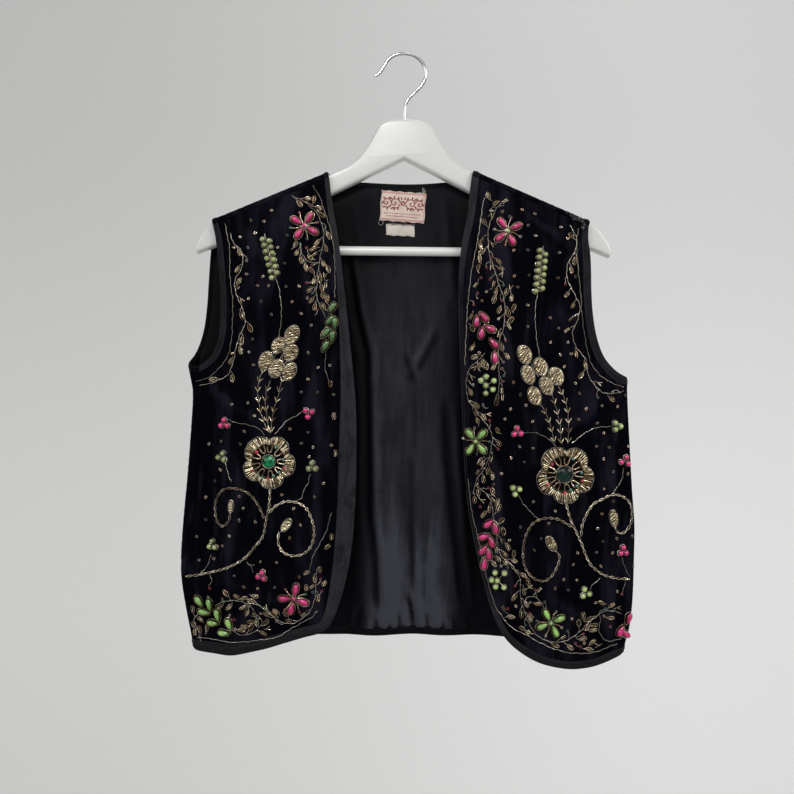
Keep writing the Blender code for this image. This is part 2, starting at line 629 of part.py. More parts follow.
def near_outline(outline, u, v, gap):
    here = Vector((u, v))
    for a, b in zip(outline, outline[1:] + outline[:1]):
        start, run = Vector(a), Vector(b) - Vector(a)
        t = min(1.0, max(0.0, (here - start).dot(run) / run.length_squared))
        if (start + run * t - here).length < gap:
            return True
    return False


def fill_points(outline, lines=()):
    """Even points inside an outline, clear of its edge and of the lines drawn on it."""
    fill = []
    lowest = int(min(p[1] for p in outline))
    for side in (LEFT, RIGHT):
        for past in TURN_LOOPS:
            for v in range(lowest, TURN_TOP, int(0.6 * GRID_DROP)):
                reach = side_edge(side, v) - SIDE_RADIUS + past * SIDE_ARC
                fill.append((side * reach, v))
            for k in range(9):
                x, z = from_shoulder(k * 1.2 * GRID_STEP, past * RIDGE_ARC - RIDGE_RADIUS)
                fill.append((side * x, z))
    for row in range(int(SHEET_FALL / GRID_DROP)):
        for column in range(-20, 21):
            u = GRID_STEP * (column + 0.5 * (row % 2))
            v = SHEET_TOP - GRID_DROP * row
            over, beyond = past_turns(u, v)
            if not (-TURN_MARGIN < over < RIDGE_ARC + TURN_MARGIN
                    or -TURN_MARGIN < beyond < SIDE_ARC + TURN_MARGIN):
                fill.append((u, v))
    clear = 0.4 * GRID_STEP
    return [p for p in fill if inside(outline, *p) and not near_outline(outline, *p, clear)
            and not any(near_outline(line, *p, clear) for line in lines)]


def sheet_side(body, outline, extra, lines, face, offset):
    """One face of a cloth wall.  Returns its rim, in the outline's order."""
    places, lifts, index_at = [], [], {}
    for u, v, lift in [(*p, 0.0) for p in outline] + list(extra):
        index_at.setdefault((round(u, 4), round(v, 4)), len(places))
        places.append(Vector((u, v)))
        lifts.append(lift)
    ties = []
    for line in lines:
        marks = [index_at[round(u, 4), round(v, 4)] for u, v in line]
        ties += list(zip(marks, marks[1:] + marks[:1]))
    found = delaunay_2d_cdt(places, ties, [list(range(len(outline)))], 1, 1e-5)
    spots, triangles, origins = found[0], found[2], found[3]
    rim = [None] * len(outline)
    verts = []
    for spot, origin in zip(spots, origins):
        lift = lifts[origin[0]] if origin else 0.0
        vert = body.verts.new(skin_point(spot.x, spot.y, face, offset + lift) * MM)
        verts.append(vert)
        for index in origin:
            if index < len(outline):
                rim[index] = vert
    for triangle in triangles:
        body.faces.new([verts[i] for i in triangle])
    return rim


def sheet(name, outline, face, outer, inner, look, fill=(), lines=(), relief=((), ())):
    """Cloth wall between two depths of the skin, with relief on its outer face only.

    Triangles keep to the lines, so walls that lie on each other share their form.
    """
    body = bmesh.new()
    raised, covers = relief
    on_lines = {p for line in lines for p in line} - set(outline)
    under = [(*p, 0.0) for p in list(fill) + sorted(on_lines)]
    plain = [p for p in under if not any(in_bead(cover, p[0], p[1], 1.25) for cover in covers)]
    kept = [p for p in raised if inside(outline, p[0], p[1])
            and not near_outline(outline, p[0], p[1], 0.6)]
    outer_rim = sheet_side(body, outline, plain + kept, lines, face, outer)
    inner_rim = sheet_side(body, outline, under, lines, face, inner)
    for i in range(len(outline)):
        j = (i + 1) % len(outline)
        body.faces.new((outer_rim[i], outer_rim[j], inner_rim[j], inner_rim[i]))
    return finish_mesh(name, body, look)


def between(a, b, step):
    """Places between two ends of a straight stretch, without its ends."""
    count = max(1, round(math.dist(a, b) / step))
    return [(mix(a[0], b[0], i / count), mix(a[1], b[1], i / count)) for i in range(1, count)]


def side_stretch(side, face, v_from, v_to):
    """Places along a side seam, without its ends."""
    count = max(2, round(abs(v_to - v_from) / PATH_STEP))
    return [side_seam_place(side, mix(v_from, v_to, i / count), face) for i in range(1, count)]


VELVET = ((0.012, 0.011, 0.020), 0.9, 0.0)
BINDING = ((0.028, 0.028, 0.032), 0.7, 0.0)
LINING = ((0.018, 0.018, 0.021), 0.6, 0.0)
LABEL_CLOTH = ((0.80, 0.66, 0.58), 0.8, 0.0)
PAINT = ((0.72, 0.71, 0.67), 0.4, 0.0)
STEEL = ((0.60, 0.60, 0.60), 0.25, 1.0)


def thin_binding(u, v):
    return BINDING_DEPTH


def lined_binding(u, v):
    """Deeper where it also holds the lining, and thin over the turns."""
    over, beyond = past_turns(u, v)
    flat = soft((-over - 1.0) / 10.0) * soft((-beyond + 2.0) / 8.0)
    return mix(BINDING_DEPTH, LINED_BINDING_DEPTH, flat)


def build_front(side):
    word = "left" if side == LEFT else "right"
    hand = side
    edge_rows, arm_rows = FRONT_EDGES[side], ARMHOLES[side, FRONT]
    edge = stations(edge_rows, hand, shoulder_across(side, 1),
                    side_across(side, FRONT, edge_rows[-1].z, 1))
    arm = stations(arm_rows, -hand, shoulder_across(side, -1),
                   side_across(side, FRONT, arm_rows[-1].z, -1))
    ribbon("binding_front_" + word, edge, FRONT, thin_binding, BINDING)
    ribbon("binding_armhole_front_" + word, arm, FRONT, thin_binding, BINDING)
    hem_line, arm_line = inner_edge(edge), inner_edge(arm)
    outline = hem_line + side_stretch(side, FRONT, hem_line[-1][1], arm_line[-1][1])
    outline += arm_line[::-1] + between(arm_line[0], hem_line[0], PATH_STEP)
    sheet("front_" + word, outline, FRONT, 0.0, -FRONT_WALL, VELVET, fill_points(outline),
          relief=relief_points(side))


def build_back():
    neck = stations(BACK_NECK, -1, shoulder_across(LEFT, 1), shoulder_across(RIGHT, 1))
    hem = stations(BACK_HEM, 1, side_across(LEFT, BACK, BACK_HEM[0].z, 1),
                   side_across(RIGHT, BACK, BACK_HEM[-1].z, 1))
    ribbon("binding_back_neck", neck, BACK, lined_binding, BINDING)
    ribbon("binding_back_hem", hem, BACK, lined_binding, BINDING)
    arm_lines = {}
    for side in (LEFT, RIGHT):
        rows = ARMHOLES[side, BACK]
        arm = stations(rows, -side, shoulder_across(side, -1),
                       side_across(side, BACK, rows[-1].z, -1))
        ribbon("binding_armhole_back_" + ("left" if side == LEFT else "right"), arm, BACK,
               lined_binding, BINDING)
        arm_lines[side] = inner_edge(arm)
    neck_line, hem_line = inner_edge(neck), inner_edge(hem)
    right_arm, left_arm = arm_lines[RIGHT], arm_lines[LEFT]
    outline = neck_line + between(neck_line[-1], right_arm[0], PATH_STEP) + right_arm
    outline += side_stretch(RIGHT, BACK, right_arm[-1][1], hem_line[-1][1]) + hem_line[::-1]
    outline += side_stretch(LEFT, BACK, hem_line[0][1], left_arm[-1][1]) + left_arm[::-1]
    outline += between(left_arm[0], neck_line[0], PATH_STEP)
    lining = lining_outline(neck_line, hem_line, arm_lines)
    labels = {row.name: label_outline(row) for row in LABELS}
    lines = [lining, *labels.values()]
    fill = [p for p in fill_points(outline, lines)
            if not any(inside(rim, *p) for rim in labels.values())]
    sheet("back", outline, BACK, 0.0, -BACK_WALL, VELVET, fill, lines)
    outer = -BACK_WALL - SEAM_GAP
    fill = [p for p in fill if inside(lining, *p)]
    sheet("back_lining", lining, BACK, outer, outer - LINING_WALL, LINING, fill,
          list(labels.values()))
    outer -= LINING_WALL + SEAM_GAP
    for name, rim in labels.items():
        sheet(name, rim, BACK, outer, outer - LABEL_WALL, LABEL_CLOTH)


def flat_part(line):
    """The stretch of a line where the lining can lie flat, clear of both turns."""
    return [p for p in line if past_turns(*p)[0] < -1.5 and past_turns(*p)[1] < -2.5]


def lining_outline(neck_line, hem_line, arm_lines):
    """The lining keeps to the back's edges and stops short of both turns."""
    neck, hem = flat_part(neck_line), flat_part(hem_line)
    right_arm, left_arm = flat_part(arm_lines[RIGHT]), flat_part(arm_lines[LEFT])

    def side_line(side, v_from, v_to):
        count = round(abs(v_to - v_from) / PATH_STEP)
        heights = [mix(v_from, v_to, i / count) for i in range(1, count)]
        return [(side * (side_edge(side, v) - SIDE_RADIUS - LINING_SHORT), v) for v in heights]

    outline = neck + between(neck[-1], right_arm[0], PATH_STEP) + right_arm
    outline += side_line(RIGHT, right_arm[-1][1], hem[-1][1]) + hem[::-1]
    outline += side_line(LEFT, hem[0][1], left_arm[-1][1]) + left_arm[::-1]
    return outline + between(left_arm[0], neck[0], PATH_STEP)


def label_outline(row):
    c, s = math.cos(math.radians(row.turn)), math.sin(math.radians(row.turn))
    corners = []
    for a, b in ((-0.5, -0.5), (0.5, -0.5), (0.5, 0.5), (-0.5, 0.5)):
        across, up = a * row.wide, b * row.high
        corners.append((row.x + c * across - s * up, row.z + s * across + c * up))
    rim = []
    for a, b in zip(corners, corners[1:] + corners[:1]):
        rim += [a] + between(a, b, LABEL_STEP)
    return rim


def build_hanger():
    """Flat wooden body with rounded edges, a hole for the hook and a socket at each end."""
    half = HANGER_UPPER + HANGER_LOWER
    outline = half + [Point(-p.x, p.z) for p in half[-2:0:-1]]
    body = bmesh.new()
    rings = []
    profile = [(HANGER_ROUND * (1 - math.cos(t)),
                HANGER_THICK / 2 - HANGER_ROUND * (1 - math.sin(t)))
               for t in (0.0, math.pi / 4, math.pi / 2)]
    layers = [(inset, -y) for inset, y in reversed(profile)] + profile
    count = len(outline)
    for inset, y in layers:
        ring = []
        for i, p in enumerate(outline):
            before, after = outline[i - 1], outline[(i + 1) % count]
            a = Vector((p.x - before.x, p.z - before.z)).normalized()
            b = Vector((after.x - p.x, after.z - p.z)).normalized()
            normal = Vector((a.y + b.y, -a.x - b.x)).normalized()
            stretch = 1.0 / max(MITRE_LIMIT, normal.dot(Vector((a.y, -a.x))))
            ring.append(body.verts.new(Vector((p.x + normal.x * inset * stretch, y,
                                               p.z + normal.y * inset * stretch)) * MM))
        rings.append(ring)
    for ring, after in zip(rings, rings[1:]):
        for i in range(count):
            j = (i + 1) % count
            body.faces.new((ring[i], ring[j], after[j], after[i]))
    body.faces.new(rings[0])
    body.faces.new(rings[-1])
    hanger = finish_mesh("hanger_body", body, PAINT)
    hole = WIRE_RADIUS + SEAM_GAP
    cut(hanger, "hook_hole", hole, HOOK_HOLE_DEPTH * 2.0, (0.0, 0.0, HANGER_UPPER[0].z), (0, 0, 0))
    for side in (LEFT, RIGHT):
        length = BAR_END_X + SEAM_GAP - BAR_SOCKET_X
        centre = side * (BAR_SOCKET_X + length / 2)
        cut(hanger, "bar_socket", BAR_RADIUS + SEAM_GAP, length, (centre, 0.0, BAR_Z),
            (0, math.pi / 2, 0))


def cut(thing, name, radius, length, place, turn):
    body = bmesh.new()
    bmesh.ops.create_cone(body, cap_ends=True, segments=ROUND_SIDES, radius1=radius * MM,
                          radius2=radius * MM, depth=length * MM)
    mesh = bpy.data.meshes.new(name)
    body.to_mesh(mesh)
    body.free()
    cutter = bpy.data.objects.new(name, mesh)
    cutter.location = Vector(place) * MM
    cutter.rotation_euler = turn
    cutter.hide_render = True
    cutter.display_type = "WIRE"
    bpy.context.scene.collection.objects.link(cutter)
    modifier = thing.modifiers.new(name, "BOOLEAN")
    modifier.operation = "DIFFERENCE"
    modifier.solver = "EXACT"
    modifier.object = cutter


def build_bar():
    body = bmesh.new()
    bmesh.ops.create_cone(body, cap_ends=True, segments=ROUND_SIDES, radius1=BAR_RADIUS * MM,
                          radius2=BAR_RADIUS * MM, depth=2.0 * BAR_END_X * MM)
    mesh = bpy.data.meshes.new("hanger_bar")
    body.to_mesh(mesh)
    body.free()
    mesh.shade_smooth()
    mesh.set_sharp_from_angle(angle=math.radians(40.0))
    bar = make_object("hanger_bar", mesh, PAINT)
    bar.location = (0.0, 0.0, BAR_Z * MM)
    bar.rotation_euler = (0.0, math.pi / 2, 0.0)


def build_hook():
    """Bent wire: a tip turned outwards, an open ring, a slanted run and a straight shank."""
    centre_z = WIRE_RADIUS - HOOK_RADIUS
    points = list(HOOK_TIP)
    for step in range(HOOK_STEPS + 1):
        angle = mix(HOOK_FROM, HOOK_TO, step / HOOK_STEPS)
        points.append(polar(0.0, centre_z, HOOK_RADIUS, angle))
    points += HOOK_SHANK + [Point(0.0, HANGER_UPPER[0].z - HOOK_HOLE_DEPTH + WIRE_END_GAP)]
    curve = bpy.data.curves.new("hanger_hook", "CURVE")
    curve.dimensions = "3D"
    curve.bevel_depth = WIRE_RADIUS * MM
    curve.bevel_resolution = 2
    curve.use_fill_caps = True
    spline = curve.splines.new("POLY")
    spline.points.add(len(points) - 1)
    for point, (x, z) in zip(spline.points, points):
        point.co = (x * MM, 0.0, z * MM, 1.0)
    make_object("hanger_hook", curve, STEEL)


def main():
    for thing in list(bpy.data.objects):
        bpy.data.objects.remove(thing)
    build_hanger()
    build_bar()
    build_hook()
    build_back()
    build_front(LEFT)
    build_front(RIGHT)


main()
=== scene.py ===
import math
import random
from collections import namedtuple

import bmesh
import bpy
from mathutils import Matrix, Vector
from mathutils.geometry import delaunay_2d_cdt


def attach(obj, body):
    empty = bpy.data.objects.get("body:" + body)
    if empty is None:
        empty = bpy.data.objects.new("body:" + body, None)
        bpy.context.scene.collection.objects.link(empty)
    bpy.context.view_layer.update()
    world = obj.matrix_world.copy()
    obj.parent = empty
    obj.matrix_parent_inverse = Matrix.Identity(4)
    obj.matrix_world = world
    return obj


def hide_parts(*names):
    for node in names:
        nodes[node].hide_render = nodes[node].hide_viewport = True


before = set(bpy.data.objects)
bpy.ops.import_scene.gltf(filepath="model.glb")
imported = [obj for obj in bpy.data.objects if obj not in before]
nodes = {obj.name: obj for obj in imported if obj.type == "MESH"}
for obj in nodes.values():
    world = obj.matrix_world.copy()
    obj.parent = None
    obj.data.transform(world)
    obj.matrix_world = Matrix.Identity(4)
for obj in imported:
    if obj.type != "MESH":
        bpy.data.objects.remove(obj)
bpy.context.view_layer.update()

mm = 0.001
print("scene: frame loaded,", len(nodes), "nodes")

# camera and stage

cameraView = {
    "place": (-0.005, -0.895, -0.35565),  # straight in front, level with the middle
    "roll": -0.6,  # degrees; the hanger hangs a little askew
    "frameWidth": 820,  # mm seen across at the hanger's front face
    "frontFaceDistance": 888,
    "sensor": 36,
}


def makeCamera():
    lens = cameraView["sensor"] * cameraView["frontFaceDistance"] / cameraView["frameWidth"]
    data = bpy.data.cameras.new("camera")
    data.sensor_width = cameraView["sensor"]
    data.lens = lens
    data.clip_start = 0.01
    camera = bpy.data.objects.new("camera", data)
    roll = Matrix.Rotation(math.radians(cameraView["roll"]), 4, "Y")
    level = Matrix.Rotation(math.pi / 2, 4, "X")
    camera.matrix_world = Matrix.Translation(cameraView["place"]) @ roll @ level
    bpy.context.scene.collection.objects.link(camera)
    bpy.context.scene.camera = camera


lightRig = {
    # name: (place, aim, size, watts, colour)
    "key": ((1.75, -1.05, 0.75), (0, 0, -0.35), 1.1, 24, (1, 0.985, 0.96)),
    "fill": ((-1.85, -1.05, 0.45), (0, 0, -0.35), 1.3, 16, (0.95, 0.97, 1)),
    "front": ((0.2, -2.6, 0.5), (0, 0, -0.38), 1.6, 5, (1, 0.99, 0.98)),
    "glint": ((-0.3, -1.75, 0.95), (0, 0, -0.38), 0.3, 21, (1, 0.995, 0.98)),
    "behind": ((0.3, 1.3, 1.75), (0, 0, -0.35), 0.9, 9, (1, 1, 1)),
}
worldLight = {"colour": (0.8, 0.81, 0.83), "strength": 0.4}


def makeLights():
    for name, (place, aim, size, watts, colour) in lightRig.items():
        data = bpy.data.lights.new(name, "AREA")
        data.shape = "DISK"
        data.size = size
        data.energy = watts
        data.color = colour
        lamp = bpy.data.objects.new(name, data)
        lamp.location = place
        lamp.visible_diffuse = name != "glint"  # only makes highlights
        lamp.rotation_euler = (Vector(aim) - Vector(place)).to_track_quat("-Z", "Y").to_euler()
        bpy.context.scene.collection.objects.link(lamp)
    world = bpy.data.worlds.new("studio")
    world.use_nodes = True
    background = world.node_tree.nodes["Background"]
    background.inputs["Color"].default_value = (*worldLight["colour"], 1)
    background.inputs["Strength"].default_value = worldLight["strength"]
    bpy.context.scene.world = world


# shader maths and materials

class Signal:
    # a shader socket that can be added, multiplied and so on
    def __init__(self, paint, socket):
        self.paint = paint
        self.socket = socket

    def maths(self, operation, other=None, swapped=False):
        pair = (other, self) if swapped else (self, other)
        values = {i: value for i, value in enumerate(pair) if value is not None}
        return self.paint.node("Math", {"operation": operation}, values).out(0)

    def __add__(self, other):
        return self.maths("ADD", other)

    __radd__ = __add__

    def __sub__(self, other):
        return self.maths("SUBTRACT", other)

    def __rsub__(self, other):
        return self.maths("SUBTRACT", other, True)

    def __mul__(self, other):
        return self.maths("MULTIPLY", other)

    __rmul__ = __mul__

    def most(self, other):
        return self.maths("MAXIMUM", other)

    def size(self):
        return self.maths("ABSOLUTE")


class Placed:
    # a node that has been placed, with its outputs as signals
    def __init__(self, paint, made):
        self.paint = paint
        self.made = made

    def out(self, key):
        return Signal(self.paint, self.made.outputs[key])


class Paint:
    # one procedural material round a Principled shader
    def __init__(self, name, colour, roughness, metallic=0, fixed=None):
        self.material = bpy.data.materials.new(name)
        self.material.use_nodes = True
        self.tree = self.material.node_tree
        self.shader = self.tree.nodes["Principled BSDF"]
        values = {"Base Color": (*colour, 1), "Roughness": roughness, "Metallic": metallic}
        for key, value in {**values, **(fixed or {})}.items():
            self.shader.inputs[key].default_value = value

    def node(self, kind, settings=None, sockets=None):
        made = self.tree.nodes.new("ShaderNode" + kind)
        for key, value in (settings or {}).items():
            if key == "stops":
                ramp = made.color_ramp
                while len(ramp.elements) < len(value):
                    ramp.elements.new(0.5)
                for element, (place, shade) in zip(ramp.elements, value):
                    element.position = place
                    element.color = shade
            else:
                setattr(made, key, value)
        for key, value in (sockets or {}).items():
            self.join(made.inputs[key], value)
        return Placed(self, made)

    def join(self, socket, value):
        if isinstance(value, Signal):
            self.tree.links.new(value.socket, socket)
        elif hasattr(socket.default_value, "__len__") and len(value) == 3 \
                and len(socket.default_value) == 4:
            socket.default_value = (*value, 1)
        else:
            socket.default_value = value

    def mapped(self, spot, scale, turn):
        return self.node("Mapping", {}, {"Vector": spot, "Scale": scale,
                                         "Rotation": turn}).out("Vector")

    def places(self, scale=(1, 1, 1), turn=(0, 0, 0)):
        # places on the finished object
        return self.mapped(self.node("TexCoord").out("Object"), scale, turn)

    def cloth(self, scale=(1, 1, 1), turn=(0, 0, 0)):
        # places on the flat cloth, or along and round a thread
        return self.mapped(self.node("UVMap", {"uv_map": "UVMap"}).out("UV"), scale, turn)

    def noise(self, vector, scale, detail=2, roughness=0.5, distortion=0):
        return self.node("TexNoise", {},
                         {"Vector": vector, "Scale": scale, "Detail": detail,
                          "Roughness": roughness, "Distortion": distortion}).out("Fac")

    def wave(self, vector, scale, direction="X", distortion=0, detail=0):
        return self.node("TexWave", {"bands_direction": direction},
                         {"Vector": vector, "Scale": scale, "Distortion": distortion,
                          "Detail": detail}).out("Fac")

    def attribute(self, name, output="Fac"):
        return self.node("Attribute", {"attribute_name": name}).out(output)

    def remap(self, value, low, high, toLow=0, toHigh=1):
        return self.node("MapRange", {"interpolation_type": "SMOOTHSTEP"},
                         {"Value": value, "From Min": low, "From Max": high,
                          "To Min": toLow, "To Max": toHigh}).out("Result")

    def blend(self, factor, first, second):
        return self.node("Mix", {"data_type": "RGBA"},
                         {0: factor, 6: first, 7: second}).out(2)

    def ramp(self, value, stops):
        stops = [(place, (*shade, 1)) for place, shade in stops]
        return self.node("ValToRGB", {"stops": stops}, {"Fac": value}).out("Color")

    def bump(self, height, strength, distance):
        return self.node("Bump", {}, {"Height": height, "Strength": strength,
                                                "Distance": distance}).out("Normal")

    def finish(self, **feeds):
        for key, value in feeds.items():
            words = {"colour": "Base Color", "roughness": "Roughness", "metallic": "Metallic",
                     "coat": "Coat Weight", "normal": "Normal", "glow": "Emission Color"}
            self.join(self.shader.inputs[words[key]], value)
        return self.material


velvetFinish = {
    "pile": (0.0006, 0.0007, 0.0026), "crushed": (0.0125, 0.0114, 0.02),
    "sheen": 0.022, "sheenRoughness": 0.2, "sheenTint": (0.36, 0.38, 0.6, 1),
}


def paintVelvet():
    values = velvetFinish
    paint = Paint("black_velvet", values["pile"], 0.85, 0, {
        "Sheen Weight": values["sheen"], "Sheen Roughness": values["sheenRoughness"],
        "Sheen Tint": values["sheenTint"], "Specular IOR Level": 0.035})
    broad = paint.noise(paint.cloth((1, 0.34, 1), (0, 0, 0.35)), 26, 3, 0.6, 0.8)
    streaks = paint.noise(paint.cloth((1, 0.12, 1), (0, 0, -0.12)), 95, 3, 0.55, 0.4)
    pile = paint.noise(paint.cloth(), 1500, 2, 0.6)
    ridge = paint.attribute("ridge")
    # crushed patches come from noise; crease ridges add a little painted sheen
    crush = paint.remap(broad * 0.62 + streaks * 0.38 + ridge * 0.12, 0.47, 0.68)
    colour = paint.blend(crush * (0.55 + 0.45 * pile), values["pile"], values["crushed"])
    height = pile * 0.35 + crush * 0.5
    return paint.finish(colour=colour, roughness=0.92 - 0.22 * crush,
                        normal=paint.bump(height, 0.35, 0.0006))


bindingFinish = {
    "front": ((0.0028, 0.003, 0.0044), (0.029, 0.03, 0.0355)),
    "armhole": ((0.0018, 0.0019, 0.003), (0.016, 0.0165, 0.021)),
    "back": ((0.0016, 0.0018, 0.0028), (0.0085, 0.009, 0.012)),
    # shade: a darker copy of the tape, painted shade for the tapes inside the back's armholes
    "shade": ((0.0004, 0.0004, 0.001), (0.002, 0.0022, 0.0034)),
    "weave": 0.45,
}


def paintBinding(name, tones):
    values = bindingFinish
    low, high = values[tones]
    paint = Paint(name, high, 0.6, 0, {
        "Sheen Weight": 0.5 * high[0], "Sheen Roughness": 0.4,
        "Specular IOR Level": 0.03 + 3 * high[0]})
    spot = paint.cloth((1000 / values["weave"],) * 3, (0, 0, math.pi / 4))
    warp = paint.wave(spot, 0.3, "X", 0.3)
    weft = paint.wave(spot, 0.3, "Y", 0.3)
    slub = paint.noise(paint.cloth((1, 0.25, 1)), 240, 3, 0.6)
    worn = paint.noise(paint.places(), 38, 3, 0.55)
    rumple = paint.noise(paint.cloth((0.3, 1, 1), (0, 0, 0.1)), 190, 3, 0.6, 0.7)
    weave = warp.most(weft)
    tone = weave * 0.2 + worn * 0.35 + rumple * 0.45
    # painted shade: towards the hem the tape is drawn down to its dark tone
    level = paint.node("SeparateXYZ", {}, {"Vector": paint.places()}).out("Z")
    hemShade = paint.remap(level, -0.604, -0.575, 0.3, 1)
    colour = paint.blend(paint.remap(tone, 0.38, 0.62) * hemShade, low, high)
    return paint.finish(colour=colour, roughness=0.48 + 0.2 * worn,
                        normal=paint.bump(weave * 0.12 + slub * 0.16 + rumple, 0.55, 0.0012))


# low and high: the lining's own tones; deep: its painted shade at the far sides
liningFinish = {"low": (0.0022, 0.0025, 0.0039), "high": (0.054, 0.056, 0.069),
                "deep": (0.0005, 0.0006, 0.0011), "thread": 0.5}


def paintLining():
    values = liningFinish
    paint = Paint("satin_lining", values["high"], 0.45, 0, {
        "Sheen Weight": 0.004, "Sheen Roughness": 0.35, "Specular IOR Level": 0.055})
    spot = paint.cloth((1000 / values["thread"],) * 3)
    warp = paint.wave(spot, 0.3, "X", 0.6)
    weft = paint.wave(spot, 0.3, "Y", 0.6)
    slub = paint.noise(paint.cloth((1, 0.05, 1)), 420, 2, 0.6)
    cloudy = paint.noise(paint.cloth((1, 0.45, 1)), 22, 3, 0.6, 0.4)
    rub = paint.noise(paint.cloth((1, 0.15, 1)), 130, 3, 0.6)
    cross = paint.noise(paint.cloth((0.1, 1, 1)), 300, 3, 0.65, 0.3)
    tone = paint.remap(cloudy * 0.45 + rub * 0.3 + slub * 0.15 + cross * 0.1, 0.36, 0.64)
    axes = paint.node("SeparateXYZ", {}, {"Vector": paint.places()})
    aside, level = (axes.out("X") - 0.01).size(), axes.out("Z")
    # painted light: paler down the middle, least at the top under the hanger and most of all above the
    # hem
    middle = paint.remap(aside, 0.064, 0.026) * paint.remap(level, -0.15, -0.3, 0.12, 0.4)
    low = paint.remap(aside, 0.056, 0.018) * paint.remap(level, -0.46, -0.575)
    low = low * paint.remap(level, -0.612, -0.6)
    # painted shade and light from the creases: darker in their troughs, paler on their ridges
    ridge = paint.attribute("ridge")
    # worn here holds painted light and shade, mixed with the cloth's random tone
    worn = middle * (0.45 + 0.85 * tone) + low * (0.25 + 0.85 * tone)
    worn = worn * (1 + ridge * 0.9) + ridge.most(0) * 0.08
    colour = paint.blend(worn.most(0), values["low"], values["high"])
    # painted shade: towards the sides, under the fronts and into the armholes, the lining goes to its
    # deep tone
    colour = paint.blend(paint.remap(aside, 0.1, 0.15), colour, values["deep"])
    height = warp * 0.3 + weft * 0.3 + slub * 0.5 + rub * 1.6
    return paint.finish(colour=colour, roughness=0.4 + 0.2 * cloudy,
                        normal=paint.bump(height, 0.3, 0.00022))


goldFinish = {
    # deep, middle and bright tones
    "purl": ((0.11, 0.074, 0.04), (0.49, 0.385, 0.24), (0.97, 0.86, 0.62)),
    "cord": ((0.11, 0.09, 0.072), (0.3, 0.265, 0.22), (0.6, 0.55, 0.47)),
    "leaf": ((0.045, 0.026, 0.014), (0.36, 0.248, 0.145), (1, 0.84, 0.6)),
    "rope": ((0.045, 0.032, 0.022), (0.24, 0.19, 0.138), (0.98, 0.87, 0.68)),
    "seed": ((0.1, 0.07, 0.05), (0.3, 0.22, 0.17), (0.66, 0.52, 0.42)),
    "pad": ((0.02, 0.013, 0.006), (0.055, 0.037, 0.018), (0.12, 0.085, 0.045)),
    "wraps": 9,
}


def paintGold(name, tones, wraps):
    # wraps: turns of fine wire along one piece of purl
    deep, middle, bright = goldFinish[tones]
    paint = Paint(name, middle, 0.3, 0.9, {"Specular IOR Level": 0.6})
    tint = paint.attribute("tint")
    patina = paint.noise(paint.places(), 260, 3, 0.6)
    tone = tint * 0.85 + patina * 0.6 - 0.24
    colour = paint.ramp(tone, [(0.08, deep), (0.44, middle), (0.8, bright)])
    coil = paint.wave(paint.cloth((0, wraps, 0)), 0.3142, "Y")
    fine = paint.noise(paint.places(), 2600, 1, 0.5)
    return paint.finish(colour=colour, roughness=0.38 - 0.22 * tint,
                        normal=paint.bump(coil * 0.8 + fine * 0.4, 0.5, 0.00022))


def paintBead(name, deep, light, fixed=None):
    paint = Paint(name, light, 0.24, 0, {
        "Coat Weight": 1, "Coat Roughness": 0.15, "Coat IOR": 1.5,
        "Specular IOR Level": 0.3, **(fixed or {})})
    tint, crown = paint.attribute("tint"), paint.attribute("crown")
    cloudy = paint.noise(paint.places(), 420, 2, 0.5)
    tone = paint.remap(tint * 0.6 + cloudy * 0.5, 0.2, 0.85)
    # painted shade at the foot and painted light on the crown: deep in colour at the foot, pale on the
    # crown
    crownLight = paint.remap(crown, 0.15, 0.98) * (0.55 + 0.45 * tone)
    colour = paint.blend(crownLight, [0.55 * part for part in deep], light)
    return paint.finish(colour=colour, roughness=0.18 + 0.2 * cloudy,
                        normal=paint.bump(cloudy, 0.08, 0.0004))


def paintJewel(name, deep, light):
    # glass cut in flat facets; each facet is painted a little lighter or darker, a painted reflection
    paint = Paint(name, light, 0.12, 0, {
        "Coat Weight": 0.5, "Coat Roughness": 0.08, "Specular IOR Level": 0.15})
    facet = paint.node("TexVoronoi", {}, {"Vector": paint.places(), "Scale": 230})
    shade = paint.node("SeparateColor", {}, {"Color": facet.out("Color")}).out(0)
    cloudy = paint.noise(paint.places(), 160, 2, 0.5)
    colour = paint.blend(paint.remap(shade * 0.7 + cloudy * 0.5, 0.25, 0.95), deep, light)
    return paint.finish(colour=colour, roughness=0.08 + 0.1 * shade,
                        normal=paint.bump(facet.out("Distance"), 0.7, 0.0012))


lacquerFinish = {"paint": (0.8, 0.798, 0.765), "worn": (0.7, 0.685, 0.64)}


def paintLacquer(name, shade):
    # shade: brightness over that of the body's paint; the bar's brighter copy is painted light
    values = {key: [shade * part for part in tone] for key, tone in lacquerFinish.items()}
    paint = Paint(name, values["paint"], 0.32, 0, {
        "Coat Weight": 0.35, "Coat Roughness": 0.22, "Specular IOR Level": 0.5})
    grain = paint.noise(paint.places((1, 1, 9)), 40, 3, 0.55)
    peel = paint.noise(paint.places(), 520, 2, 0.5)
    blotch = paint.noise(paint.places(), 17, 2, 0.5)
    colour = paint.blend(paint.remap(blotch * 0.6 + grain * 0.4, 0.45, 0.75) * 0.35,
                         values["paint"], values["worn"])
    return paint.finish(colour=colour, roughness=0.27 + 0.16 * blotch,
                        normal=paint.bump(peel * 0.5 + grain * 0.6, 0.16, 0.0004))


def paintSteel():
    paint = Paint("polished_steel", (0.56, 0.56, 0.57), 0.16, 1, {"Specular IOR Level": 0.5})
    drawn = paint.noise(paint.places(), 90, 3, 0.6)
    fine = paint.noise(paint.places(), 900, 2, 0.6)
    colour = paint.blend(drawn, (0.4, 0.4, 0.41), (0.66, 0.66, 0.67))
    return paint.finish(colour=colour, roughness=0.1 + 0.16 * drawn,
                        normal=paint.bump(fine, 0.05, 0.0002))


labelFinish = {"ground": (0.9, 0.75, 0.655), "faded": (0.73, 0.525, 0.45),
               "line": (0.62, 0.25, 0.24)}


